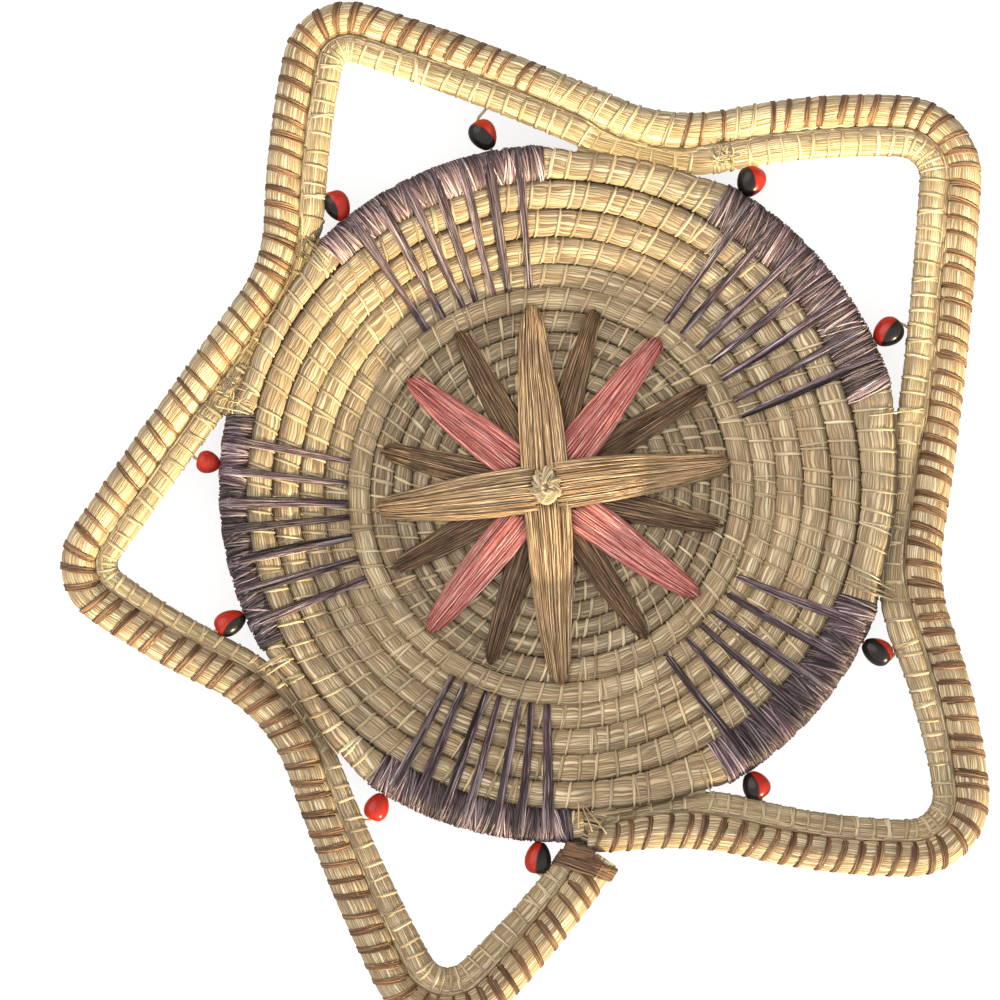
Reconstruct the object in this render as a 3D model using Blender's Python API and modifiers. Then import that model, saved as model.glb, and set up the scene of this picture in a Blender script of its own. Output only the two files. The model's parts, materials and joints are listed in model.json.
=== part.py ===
"""A coiled grass wall basket with a five-pointed star border, lying on its base, mouth up, in metres.

The dish is one grass coil sewn round and round from the middle. The last round leaves the dish and runs on
as the star border, two rounds of coil that touch the rim in five valleys and swing out in five loops.
"""
import math
from dataclasses import dataclass

import bmesh
import bpy
from mathutils import Vector
from mathutils.geometry import intersect_point_line

OBJECT_NAME = "woven_grass_wall_basket"

# Room left between pieces that touch
TOUCH_GAP = 0.0003

# The dish's coil: narrow rounds in the floor, wide rounds up the wall, the last of them the rim
FLOOR_ROUNDS = 9
WALL_ROUNDS = 6
FLOOR_PITCH = 0.0063
WALL_PITCH = 0.0084
FLOOR_HALF_THICKNESS = 0.0031
WALL_HALF_THICKNESS = 0.0044
FLOOR_GROOVE = 0.0013
WALL_GROOVE = 0.0021
DOME_RISE = 0.0080
RIM_RISE = 0.0216
BASE_RING_WIDTH = 0.0100
RIM_EDGE_HALF = 0.0022
VALLEY_SLIMMING = 0.0016
COIL_END_DEG = 273.4
STATIONS = 36

# The border's two rounds of coil, side by side, which start and end beside the coil's end
OUTER_COIL_RADIUS = 0.0055
INNER_END_RADIUS = 0.0029
COIL_GAP = 0.0006
RIM_ROOM = 0.0010
BORDER_RISE = 0.0004
START_LENGTH = 0.0140
START_BEND_RADIUS = 0.0600
END_RIM_GAP = 0.0064
END_DEG = 276.2
INNER_START_TRIM = 0.0024
INNER_END_TRIM = 0.0056
TAPER_LENGTH = 0.034
OUTER_TAPER = 0.75
INNER_TAPER = 0.40
BEND_STEP_DEG = 24.0
BEND_STEP = 0.034

# The raffia that binds the border's ends
BINDING_WIDTH = 0.0042
BINDING_WALL = 0.0007
BINDING_SETBACK = 0.0060
BINDING_LEAD = 0.0050
BINDING_CLEARANCE = 0.0004
BINDING_SIDES = 12

# The purple raffia: a wrapped stretch of rim and long stitches over the wall
WRAP_WALL = 0.0006
WRAP_GRIP = 0.30
STITCH_WIDTH = 0.0023
STITCH_THICKNESS = 0.0008
STITCH_ROUNDS = 4
STITCH_TUCK = 0.0018

# The raffia star on the floor
KNOT_CENTRE = (-0.0049, -0.0003)
TIPS_CENTRE = (-0.0027, 0.0)
PETAL_LIFT = 0.0005
KNOT_RADIUS = 0.0060
KNOT_HEIGHT = 0.0058
KNOT_TOP_SHARE = 0.62
KNOT_SIDES = 12

# The seeds and the strips that hold them
SEED_BORE_RADIUS = 0.0010
SEED_SIDES = 7
SEED_RIM_GAP = 0.0004
TIE_RADIUS = 0.0005


@dataclass(frozen=True)
class StarPoint:
    """One point of the star border: the valley before it, its arms and tip, and the rim section inside it."""

    name: str
    valley_reach: float
    valley_deg: float
    valley_radius: float
    tip_reach: float
    tip_deg: float
    tip_radius: float
    arm_radii: tuple
    inner_radii: tuple
    rim_reach: float
    wrap_deg: tuple
    stitch_deg: tuple
    stitches: int


# Counterclockwise from the coil's end
STAR_POINTS = (
    StarPoint("lower_right", 0.2069, 280.8, 0.0896, 0.1537, 318.4, 0.0210, (0.228, 0.215), (0.0036, 0.0034), 0.1115,
              (299.5, 339.0), (303.8, 334.5), 6),
    StarPoint("upper_right", 0.1866, 351.9, 0.0640, 0.1548, 42.5, 0.0216, (1.170, 0.233), (0.0046, 0.0044), 0.1145,
              (16.5, 61.0), (22.0, 56.0), 7),
    StarPoint("upper_left", 0.1877, 76.9, 0.0635, 0.1559, 117.0, 0.0164, (0.700, 0.320), (0.0044, 0.0040), 0.1129,
              (93.5, 135.0), (97.5, 128.5), 7),
    StarPoint("left", 0.1678, 148.3, 0.0499, 0.1450, 190.6, 0.0158, (3.000, 0.278), (0.0040, 0.0032), 0.1117,
              (168.0, 209.0), (172.5, 204.5), 7),
    StarPoint("bottom", 0.1761, 219.4, 0.0549, 0.1562, 256.1, 0.0207, (0.550, 0.303), (0.0027, 0.0042), 0.1164,
              (237.0, 271.4), (240.5, 267.3), 7),
)


@dataclass(frozen=True)
class Petal:
    """One kind of raffia petal: from where to where it lies, its widths and how it is stacked."""

    name: str
    base_at: float
    base_width: float
    tip_width: float
    thickness: float
    stack: float
    stacked_to: float
    level_from: float
    colour: tuple


TAN = Petal("tan", 0.0078, 0.0138, 0.0056, 0.0016, 0.0036, 0.0290, 0.0430, (0.50, 0.33, 0.18))
PINK = Petal("pink", 0.0160, 0.0117, 0.0047, 0.0014, 0.0018, 0.0300, 0.0380, (0.52, 0.17, 0.16))
BROWN = Petal("brown", 0.0195, 0.0090, 0.0046, 0.0013, 0.0, 0.0200, 0.0210, (0.20, 0.12, 0.08))

# Counterclockwise from the tan petal that points right
PETAL_ORDER = (TAN, BROWN, PINK, BROWN)
PETAL_DEG = (8.6, 33.2, 53.9, 75.6, 95.7, 120.2, 142.3, 166.9, 186.8, 207.2, 229.6, 251.1, 273.1, 303.0, 324.8, 348.1)
PETAL_REACH = (0.0613, 0.0637, 0.0634, 0.0629, 0.0621, 0.0612, 0.0601, 0.0583,
               0.0585, 0.0590, 0.0625, 0.0619, 0.0651, 0.0590, 0.0616, 0.0593)
PETAL_STEPS = 4
PETAL_TOP_SHARE = 0.80


@dataclass(frozen=True)
class Seed:
    """One seed: its place round the rim, the lean of its strip from straight out, its length and width."""

    name: str
    rim_deg: float
    lean_deg: float
    length: float
    width: float


SEEDS = (
    Seed("lower_right_1", 303.0, -4.0, 0.0092, 0.0082),
    Seed("lower_right_2", 332.6, -4.0, 0.0102, 0.0080),
    Seed("upper_right_1", 24.6, 14.0, 0.0104, 0.0082),
    Seed("upper_right_2", 57.8, 6.0, 0.0098, 0.0080),
    Seed("upper_left_1", 101.6, 17.0, 0.0112, 0.0082),
    Seed("upper_left_2", 129.4, -14.0, 0.0092, 0.0074),
    Seed("left_1", 176.9, -11.0, 0.0074, 0.0070),
    Seed("left_2", 202.4, 5.0, 0.0096, 0.0078),
    Seed("bottom_1", 239.8, 6.0, 0.0092, 0.0076),
    Seed("bottom_2", 266.3, -2.0, 0.0100, 0.0078),
)

ROUNDS = FLOOR_ROUNDS + WALL_ROUNDS
STATION_DEG = 360.0 / STATIONS
FLOOR_RADIUS = FLOOR_ROUNDS * FLOOR_PITCH
BASE_OUTER = FLOOR_RADIUS + BASE_RING_WIDTH
RIM_INNER = FLOOR_RADIUS + (WALL_ROUNDS - 1) * WALL_PITCH
RIM_RADIUS = STAR_POINTS[0].rim_reach
BORDER_HEIGHT = WALL_HALF_THICKNESS + RIM_RISE + BORDER_RISE
EDGE_LINE = 2 * ROUNDS
STRAW_COLOUR = (0.62, 0.47, 0.29)
PURPLE_COLOUR = (0.17, 0.11, 0.13)
BINDING_COLOUR = (0.24, 0.13, 0.08)
SEED_COLOUR = (0.62, 0.05, 0.02)


def smooth(value):
    """Runs from 0 to 1 with level ends as value runs from 0 to 1."""
    value = min(1.0, max(0.0, value))
    return value * value * (3.0 - 2.0 * value)


def polar(radius, degrees, height=0.0):
    """A point at a radius and an angle about the dish's axis."""
    angle = math.radians(degrees)
    return Vector((radius * math.cos(angle), radius * math.sin(angle), height))


def heading(degrees):
    """A unit vector in plan."""
    return polar(1.0, degrees).xy


def upright(point, height):
    """A plan point at a height."""
    return Vector((point.x, point.y, height))


def turn_share(degrees):
    """How far round the last turn an angle lies: 0 just after the coil's end and 1 at it."""
    return ((degrees - COIL_END_DEG) % 360.0) / 360.0


def wrapped_share(degrees):
    """1 inside a purple section and 0 in a valley, with a short ramp between."""
    ramp_deg = 7.0
    best = 0.0
    for point in STAR_POINTS:
        first, last = point.wrap_deg
        away = abs((degrees - 0.5 * (first + last) + 180.0) % 360.0 - 180.0) - 0.5 * (last - first)
        best = max(best, 1.0 - smooth(away / ramp_deg))
    return best


def seam_radius(turns):
    """The radius of the seam on the inner side of the coil after so many rounds."""
    floor = min(turns, FLOOR_ROUNDS)
    return floor * FLOOR_PITCH + (turns - floor) * WALL_PITCH


def rim_edge(share):
    """The rim's outer radius round the last turn, which differs a little from section to section."""
    reach = STAR_POINTS[0].rim_reach
    for before, after in zip(STAR_POINTS, STAR_POINTS[1:]):
        leaving = turn_share(before.wrap_deg[1])
        arriving = turn_share(after.wrap_deg[0])
        reach += (after.rim_reach - before.rim_reach) * smooth((share - leaving) / (arriving - leaving))
    reach -= VALLEY_SLIMMING * (1.0 - wrapped_share(COIL_END_DEG + 360.0 * share))
    join_share = 0.07
    seam = RIM_INNER + WALL_PITCH
    return seam + (reach - seam) * smooth(share / join_share)


def line_radius(line, share):
    """The radius of a line of the dish's top: even lines are seams, odd ones crests, the last is the edge."""
    if line == EDGE_LINE:
        return rim_edge(share)
    if line == EDGE_LINE - 1:
        return 0.5 * (seam_radius(ROUNDS - 1 + share) + rim_edge(share))
    return seam_radius(0.5 * line + share)


def middle_height(radius):
    """The height of the middle of the dish's wall: a raised floor, a low base ring and a flaring wall."""
    dome = 0.5 + 0.5 * math.cos(math.pi * min(1.0, radius / FLOOR_RADIUS))
    up_the_wall = smooth((radius - BASE_OUTER) / (RIM_RADIUS - BASE_OUTER))
    return WALL_HALF_THICKNESS + DOME_RISE * dome + RIM_RISE * up_the_wall


def slant(radius):
    """How much longer the wall's thickness is when measured upright, at its slope there."""
    step = 0.001
    slope = (middle_height(radius + step) - middle_height(radius - step)) / (2.0 * step)
    return math.hypot(1.0, slope)


def coil_size(radius, floor_size, wall_size):
    """A size that grows from the floor's narrow coil to the wall's wide one."""
    start = FLOOR_RADIUS - 2.0 * FLOOR_PITCH
    return floor_size + (wall_size - floor_size) * smooth((radius - start) / (FLOOR_RADIUS - start))


def top_height(radius, crest=True):
    """The height of the dish's upper face on a crest or in a seam."""
    half = coil_size(radius, FLOOR_HALF_THICKNESS, WALL_HALF_THICKNESS)
    if not crest:
        half -= coil_size(radius, FLOOR_GROOVE, WALL_GROOVE)
    return middle_height(radius) + half * slant(radius)


def under_height(radius, crest=True):
    """The height of the dish's underside, flat under the base ring."""
    half = coil_size(radius, FLOOR_HALF_THICKNESS, WALL_HALF_THICKNESS)
    if not crest:
        half -= WALL_GROOVE
    return max(0.0, middle_height(radius) - half * slant(radius))


def dish_point(line, station):
    """A point of the dish's upper face."""
    share = station / STATIONS
    radius = line_radius(line, share)
    height = top_height(radius, line % 2 == 1)
    if line == EDGE_LINE:
        height = middle_height(radius) + RIM_EDGE_HALF
    return polar(radius, COIL_END_DEG + station * STATION_DEG, height)


def edge_under(station):
    """The lower corner of the rim's edge."""
    top = dish_point(EDGE_LINE, station)
    return Vector((top.x, top.y, top.z - 2.0 * RIM_EDGE_HALF))


def under_rings():
    """The underside's rings from the rim inwards, each a radius and whether it is a crest."""
    rings = []
    for k in range(WALL_ROUNDS - 1, 1, -1):
        crest = FLOOR_RADIUS + (k + 0.5) * WALL_PITCH
        rings.append((crest, True))
        rings.append((crest - 0.5 * WALL_PITCH, False))
    rings.append((BASE_OUTER, True))
    rings.append((FLOOR_RADIUS, True))
    for share in (0.84, 0.56, 0.24):
        rings.append((FLOOR_RADIUS * share, True))
    return rings


def under_point(ring, station):
    """A point of one of the underside's rings."""
    radius, crest = under_rings()[ring]
    return polar(radius, COIL_END_DEG + station * STATION_DEG, under_height(radius, crest))


def between_stations(place, degrees):
    """A point at any angle on the flat facet between the stations, from a function of the station."""
    steps = turn_share(degrees) * STATIONS
    station = min(int(steps), STATIONS - 1)
    return place(station).lerp(place(station + 1), steps - station)


def add_object(name, mesh, colour, roughness, collection):
    """Places a mesh in the basket's collection with its own material."""
    material = bpy.data.materials.new(name)
    material.use_nodes = True
    shader = material.node_tree.nodes["Principled BSDF"]
    shader.inputs["Base Color"].default_value = (*colour, 1.0)
    shader.inputs["Roughness"].default_value = roughness
    shader.inputs["Metallic"].default_value = 0.0
    mesh.materials.append(material)
    placed = bpy.data.objects.new(name, mesh)
    collection.objects.link(placed)
    return placed


def finish_mesh(name, work):
    """Turns a bmesh into a mesh with its faces pointing outwards."""
    bmesh.ops.recalc_face_normals(work, faces=work.faces)
    mesh = bpy.data.meshes.new(name)
    work.to_mesh(mesh)
    work.free()
    return mesh


def ring_of(work, points):
    """Makes the vertices of one cross-section."""
    return [work.verts.new(point) for point in points]


def skin(work, rings, closed=False):
    """Joins cross-sections that have as many points each, and caps the ends unless they close on themselves."""
    count = len(rings[0])
    pairs = list(zip(rings, rings[1:]))
    if closed:
        pairs.append((rings[-1], rings[0]))
    for first, second in pairs:
        for k in range(count):
            after = (k + 1) % count
            work.faces.new((first[k], first[after], second[after], second[k]))
    if not closed:
        work.faces.new(rings[0])
        work.faces.new(rings[-1])


def build_dish(collection):
    """The dish: a spiral of ridges above, rings of ridges below and the coil's cut end at the rim."""
    work = bmesh.new()
    middle = work.verts.new((0.0, 0.0, top_height(0.0, False)))
    lines = {}
    for line in range(EDGE_LINE + 1):
        for station in range(STATIONS):
            lines[line, station] = work.verts.new(dish_point(line, station)) if line + station else middle
    for line in (EDGE_LINE - 1, EDGE_LINE):
        lines[line, STATIONS] = work.verts.new(dish_point(line, STATIONS))

    def at(line, station):
        """The vertex of a line at a station; a full turn leads on to the next round."""
        if station == STATIONS and line <= EDGE_LINE - 2:
            return lines[line + 2, 0]
        return lines[line, station]

    for station in range(STATIONS):
        after = station + 1
        if after == STATIONS:
            work.faces.new((middle, at(0, station), at(0, after), lines[1, 0]))
        elif station:
            work.faces.new((middle, at(0, station), at(0, after)))
        else:
            work.faces.new((middle, lines[1, 0], lines[1, 1], lines[0, 1]))
        for line in range(0 if station else 1, EDGE_LINE):
            work.faces.new((at(line, station), at(line + 1, station), at(line + 1, after), at(line, after)))

    edge = ring_of(work, [edge_under(station) for station in range(STATIONS + 1)])
    rings = []
    for ring in range(len(under_rings())):
        rings.append(ring_of(work, [under_point(ring, station) for station in range(STATIONS)]))
    for station in range(STATIONS):
        after = (station + 1) % STATIONS
        work.faces.new((at(EDGE_LINE, station), edge[station], edge[station + 1], at(EDGE_LINE, station + 1)))
        work.faces.new((edge[station], rings[0][station], rings[0][after], edge[station + 1]))
        for first, second in zip(rings, rings[1:]):
            work.faces.new((first[station], second[station], second[after], first[after]))
    work.faces.new(rings[-1])
    work.faces.new((lines[EDGE_LINE, 0], lines[EDGE_LINE - 1, STATIONS], lines[EDGE_LINE, STATIONS],
                    edge[STATIONS], rings[0][0], edge[0]))
    add_object("coiled_dish", finish_mesh("coiled_dish", work), STRAW_COLOUR, 0.85, collection)


@dataclass
class Bend:
    """A circle that the border runs round, leftwards (1) on a point or rightwards (-1) in a valley."""

    centre: Vector
    radius: float
    side: float
    inner_start: float
    inner_end: float

    def point(self, course):
        """Where the line is on this circle when it heads that way."""
        return self.centre - heading(course + 90.0) * self.radius * self.side

    def course_to(self, following):
        """The heading at which the line passes from this circle to the next one, which touches it."""
        left = (following.centre - self.centre) / (following.side * following.radius - self.side * self.radius)
        return math.degrees(math.atan2(left.y, left.x)) - 90.0


def arm_bend(valley, tip, radius, outward):
    """The wide circle that leads from a valley out to a tip, or back from the tip to the next valley."""
    between = tip.centre - valley.centre
    to_valley = radius + valley.radius
    to_tip = radius - tip.radius
    along = 0.5 * (between.length_squared + to_valley ** 2 - to_tip ** 2) / between.length
    away = math.sqrt(to_valley ** 2 - along ** 2)
    forward = between.normalized()
    sideways = Vector((-forward.y, forward.x)) * (1.0 if outward else -1.0)
    centre = valley.centre + forward * along + sideways * away
    if outward:
        return Bend(centre, radius, 1.0, valley.inner_end, tip.inner_start)
    return Bend(centre, radius, 1.0, tip.inner_end, valley.inner_start)


def star_bends():
    """The circles that make up the border, counterclockwise from the coil's end."""
    bends = []
    for star in STAR_POINTS:
        valley_inner, tip_inner = star.inner_radii
        centre = polar(star.valley_reach, star.valley_deg).xy
        valley = Bend(centre, star.valley_radius, -1.0, valley_inner, valley_inner)
        if bends:
            bends.append(arm_bend(valley, tip, returning, False))
        else:
            start_reach = star.valley_reach - star.valley_radius - START_BEND_RADIUS
            centre = polar(start_reach, star.valley_deg).xy
            bends.append(Bend(centre, START_BEND_RADIUS, 1.0, valley_inner, valley_inner))
        centre = polar(star.tip_reach, star.tip_deg).xy
        tip = Bend(centre, star.tip_radius, 1.0, tip_inner, tip_inner)
        leaving, returning = star.arm_radii
        bends.extend((valley, arm_bend(valley, tip, leaving, True), tip))
    end_reach = STAR_POINTS[-1].rim_reach + END_RIM_GAP
    end = Bend(polar(end_reach, END_DEG).xy, 0.0, -1.0, INNER_END_RADIUS, INNER_END_RADIUS)
    bends.extend((arm_bend(end, tip, returning, False), end))
    return bends


def star_route():
    """The outer coil's centre line in plan: its points, the heading and the inner coil's radius at each."""
    bends = star_bends()
    arriving = STAR_POINTS[0].valley_deg + 90.0 - math.degrees(START_LENGTH / START_BEND_RADIUS)
    route = [(bends[0].point(arriving), arriving, bends[0].inner_start)]
    for bend, following in zip(bends, bends[1:]):
        turn = (bend.course_to(following) - arriving + 180.0) % 360.0 - 180.0
        length = math.radians(abs(turn)) * bend.radius
        steps = math.ceil(max(abs(turn) / BEND_STEP_DEG, length / BEND_STEP))
        for k in range(1, steps + 1):
            course = arriving + turn * k / steps
            inner = bend.inner_start + (bend.inner_end - bend.inner_start) * k / steps
            route.append((bend.point(course), course, inner))
        arriving += turn
    return route


def lengths_along(points):
    """The distance along a line of points to each of them."""
    total = 0.0
    result = [0.0]
    for before, after in zip(points, points[1:]):
        total += (after - before).length
        result.append(total)
    return result


def taper(along, share):
    """A coil's radius near its start, as a share of its full radius."""
    return share + (1.0 - share) * smooth(along / TAPER_LENGTH)


def rim_clearance(point):
    """The distance from a point beside the rim to the rim's cross-section, less the raffia wrapped on it."""
    degrees = math.degrees(math.atan2(point.y, point.x))
    share = turn_share(degrees)
    edge = rim_edge(share)
    crest = line_radius(EDGE_LINE - 1, share)
    middle = middle_height(edge)
    under_radius = under_rings()[0][0]
    corners = [Vector((crest, top_height(crest))), Vector((edge, middle + RIM_EDGE_HALF)),
               Vector((edge, middle - RIM_EDGE_HALF)), Vector((under_radius, under_height(under_radius)))]
    here = Vector((point.xy.length, point.z))
    best = math.inf
    for first, second in zip(corners, corners[1:]):
        foot, share_along = intersect_point_line(here, first, second)
        nearest = first if share_along < 0.0 else second if share_along > 1.0 else foot
        best = min(best, (here - nearest).length)
    return best - (WRAP_WALL + TOUCH_GAP) * wrapped_share(degrees)


def outer_coil_line():
    """The outer coil's centre line and its radius at each point."""
    points = [upright(place, BORDER_HEIGHT) for place, _, _ in star_route()]
    radii = [OUTER_COIL_RADIUS * taper(along, OUTER_TAPER) for along in lengths_along(points)]
    return points, radii


def inner_coil_line():
    """The inner coil's centre line, beside the outer one, sinking where the rim leaves it no room."""
    route = star_route()
    along = lengths_along([place for place, _, _ in route])
    points = []
    radii = []
    for (place, course, full_radius), distance in zip(route, along):
        if distance == 0.0:
            place = place + heading(course) * INNER_START_TRIM
        if distance == along[-1]:
            place = place - heading(course) * INNER_END_TRIM
        radius = full_radius * taper(distance, INNER_TAPER)
        apart = OUTER_COIL_RADIUS * taper(distance, OUTER_TAPER) + radius + COIL_GAP
        inward = heading(course + 90.0)
        sink_deg = 0.0
        while True:
            sunk = math.radians(sink_deg)
            point = upright(place + inward * apart * math.cos(sunk), BORDER_HEIGHT - apart * math.sin(sunk))
            if sink_deg >= 85.0 or rim_clearance(point) >= radius + RIM_ROOM:
                break
            sink_deg += 1.0
        points.append(point)
        radii.append(radius)
    return points, radii


def tube_mesh(name, points, radii, resolution):
    """A round tube with filled ends along points, welded into one closed mesh."""
    curve = bpy.data.curves.new(name, "CURVE")
    curve.dimensions = "3D"
    curve.bevel_depth = 1.0
    curve.bevel_resolution = resolution
    curve.use_fill_caps = True
    curve.twist_mode = "Z_UP"
    spline = curve.splines.new("POLY")
    spline.points.add(len(points) - 1)
    for target, point, radius in zip(spline.points, points, radii):
        target.co = (point.x, point.y, point.z, 1.0)
        target.radius = radius
    holder = bpy.data.objects.new(name, curve)
    bpy.context.scene.collection.objects.link(holder)
    evaluated = holder.evaluated_get(bpy.context.evaluated_depsgraph_get())
    mesh = bpy.data.meshes.new_from_object(evaluated)
    work = bmesh.new()
    work.from_mesh(mesh)
    bmesh.ops.remove_doubles(work, verts=work.verts, dist=0.00001)
    bpy.data.objects.remove(holder)
    bpy.data.curves.remove(curve)
    bpy.data.meshes.remove(mesh)
    return finish_mesh(name, work)


def build_border(collection):
    """The border's outer and inner rounds of coil."""
    for name, (points, radii) in (("border_outer_coil", outer_coil_line()),
                                  ("border_inner_coil", inner_coil_line())):
        mesh = tube_mesh(name, points, radii, 2)
        add_object(name, mesh, STRAW_COLOUR, 0.85, collection)


def build_binding(collection):
    """The band of raffia round both coils where they end."""
    before, (end, _, inner_radius) = star_route()[-2:]
    onward = (end - before[0]).normalized()
    inward = Vector((-onward.y, onward.x))
    apart = OUTER_COIL_RADIUS + inner_radius + COIL_GAP
    far_side = apart + inner_radius

    def section(setback, room):
        """A ring of points round both coils, further on where it goes round the outer one."""
        points = []
        for k in range(BINDING_SIDES):
            angle = 2.0 * math.pi * (k + 0.5) / BINDING_SIDES
            across = math.cos(angle)
            on_inner = apart * across + inner_radius > OUTER_COIL_RADIUS
            radius = room + (inner_radius if on_inner else OUTER_COIL_RADIUS)
            side = radius * across + (apart if on_inner else 0.0)
            lead = BINDING_LEAD * (far_side - side) / (far_side + OUTER_COIL_RADIUS)
            place = end - onward * (setback - lead) + inward * side
            points.append(upright(place, BORDER_HEIGHT + radius * math.sin(angle)))
        return points

    near = BINDING_SETBACK
    far = BINDING_SETBACK + BINDING_WIDTH
    slim = BINDING_CLEARANCE
    thick = BINDING_CLEARANCE + BINDING_WALL
    work = bmesh.new()
    rings = [ring_of(work, section(*spec)) for spec in ((near, slim), (far, slim), (far, thick), (near, thick))]
    skin(work, rings, closed=True)
    add_object("end_binding", finish_mesh("end_binding", work), BINDING_COLOUR, 0.75, collection)


def pushed_out(path, distance):
    """A path in a half plane moved off the dish by a distance, kept parallel to itself."""
    normals = []
    for first, second in zip(path, path[1:]):
        along = (second - first).normalized()
        normals.append(Vector((-along.y, along.x)))
    moved = [path[0] + normals[0] * distance]
    for k in range(1, len(path) - 1):
        mean = (normals[k - 1] + normals[k]).normalized()
        moved.append(path[k] + mean * distance / mean.dot(normals[k]))
    moved.append(path[-1] + normals[-1] * distance)
    return moved


def wrap_sections(station):
    """The inner and outer outline of the purple wrap round the rim, at a station."""
    corners = [dish_point(EDGE_LINE - 2, station), dish_point(EDGE_LINE - 1, station),
               dish_point(EDGE_LINE, station), edge_under(station), under_point(0, station % STATIONS),
               under_point(1, station % STATIONS)]
    if station == STATIONS:
        corners[0] = dish_point(EDGE_LINE - 2, STATIONS)
    path = [Vector((corner.xy.length, corner.z)) for corner in corners]
    path[0] = path[0].lerp(path[1], WRAP_GRIP)
    path[-1] = path[-1].lerp(path[-2], WRAP_GRIP)
    degrees = COIL_END_DEG + station * STATION_DEG
    outlines = []
    for distance in (TOUCH_GAP, TOUCH_GAP + WRAP_WALL):
        outlines.append([polar(place.x, degrees, place.y) for place in pushed_out(path, distance)])
    return outlines


def wrap_point(outline, corner, degrees):
    """A corner of the wrap's inner (0) or outer (1) outline at any angle."""
    return between_stations(lambda station: wrap_sections(station)[outline][corner], degrees)


def stitch_edges(star):
    """The two edges of each long stitch, as angles at the rim."""
    first, last = star.stitch_deg
    half = math.degrees(0.5 * STITCH_WIDTH / RIM_INNER)
    edges = []
    for k in range(star.stitches):
        middle = first + (last - first) * k / (star.stitches - 1)
        edges.append((middle - half, middle + half))
    return edges


def stitch_rings(work, middle):
    """The cross-sections of a long stitch over the crests of the wall, from the rim inwards."""
    rings = []
    for k in range(STITCH_ROUNDS + 1):
        line = EDGE_LINE - 3 - 2 * min(k, STITCH_ROUNDS - 1)
        radius = between_stations(lambda station: dish_point(line, station), middle).xy.length
        half = math.degrees(0.5 * STITCH_WIDTH / radius)
        corners = []
        for degrees in (middle - half, middle + half):
            foot = between_stations(lambda station: dish_point(line, station), degrees)
            if k == STITCH_ROUNDS:
                inward = -foot.xy.normalized() * STITCH_TUCK
                foot = Vector((foot.x + inward.x, foot.y + inward.y, foot.z - 0.35 * STITCH_TUCK))
            corners.append(foot + Vector((0.0, 0.0, TOUCH_GAP * slant(radius))))
        lift = Vector((0.0, 0.0, STITCH_THICKNESS))
        rings.append(ring_of(work, (corners[0], corners[1], corners[1] + lift, corners[0] + lift)))
    return rings


def build_wrap(star, collection):
    """A purple section: raffia wound round the rim, with long stitches running in over the wall."""
    work = bmesh.new()
    first, last = star.wrap_deg
    columns = [first]
    for station in range(-STATIONS, 2 * STATIONS):
        degrees = COIL_END_DEG + station * STATION_DEG
        if first + 1.0 < degrees < last - 1.0:
            columns.append(degrees)
    columns.append(last)
    stitches = stitch_edges(star)
    marks = sorted(columns + [edge for pair in stitches for edge in pair])
    corners = len(wrap_sections(0)[0])
    verts = {}
    for degrees in marks:
        depth = corners if degrees in columns else 1
        for outline in (0, 1):
            for corner in range(depth):
                verts[outline, corner, degrees] = work.verts.new(wrap_point(outline, corner, degrees))

    for before, after in zip(columns, columns[1:]):
        chain = [degrees for degrees in marks if before <= degrees <= after]
        for outline in (0, 1):
            near = [verts[outline, 0, degrees] for degrees in chain]
            work.faces.new(near + [verts[outline, 1, after], verts[outline, 1, before]])
            for corner in range(1, corners - 1):
                work.faces.new((verts[outline, corner, before], verts[outline, corner, after],
                                verts[outline, corner + 1, after], verts[outline, corner + 1, before]))
        work.faces.new((verts[0, corners - 1, before], verts[0, corners - 1, after],
                        verts[1, corners - 1, after], verts[1, corners - 1, before]))
    for degrees in (first, last):
        inner = [verts[0, corner, degrees] for corner in range(corners)]
        outer = [verts[1, corner, degrees] for corner in range(corners)]
        work.faces.new(inner + outer[::-1])
    for before, after in zip(marks, marks[1:]):
        if not any(low <= before and after <= high for low, high in stitches):
            work.faces.new((verts[0, 0, before], verts[0, 0, after], verts[1, 0, after], verts[1, 0, before]))
    for low, high in stitches:
        rings = stitch_rings(work, 0.5 * (low + high))
        skin_from(work, [degrees for degrees in marks if low <= degrees <= high], verts, rings)
    name = "purple_wrap_" + star.name
    add_object(name, finish_mesh(name, work), PURPLE_COLOUR, 0.75, collection)


def skin_from(work, chain, verts, rings):
    """Joins a stitch's cross-sections to the wrap's edge, and closes its far end."""
    under = [verts[0, 0, degrees] for degrees in chain]
    over = [verts[1, 0, degrees] for degrees in chain]
    left_under, right_under, right_over, left_over = rings[0]
    work.faces.new(under + [right_under, left_under])
    work.faces.new(over + [right_over, left_over])
    work.faces.new((under[0], over[0], left_over, left_under))
    work.faces.new((under[-1], over[-1], right_over, right_under))
    for first, second in zip(rings, rings[1:]):
        for k in range(4):
            after = (k + 1) % 4
            work.faces.new((first[k], first[after], second[after], second[k]))
    work.faces.new(rings[-1])


def petal_stack(kind, along):
    """How high a petal is held off the floor by those under it."""
    return kind.stack * (1.0 - smooth((along - kind.stacked_to) / (kind.level_from - kind.stacked_to)))


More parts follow.
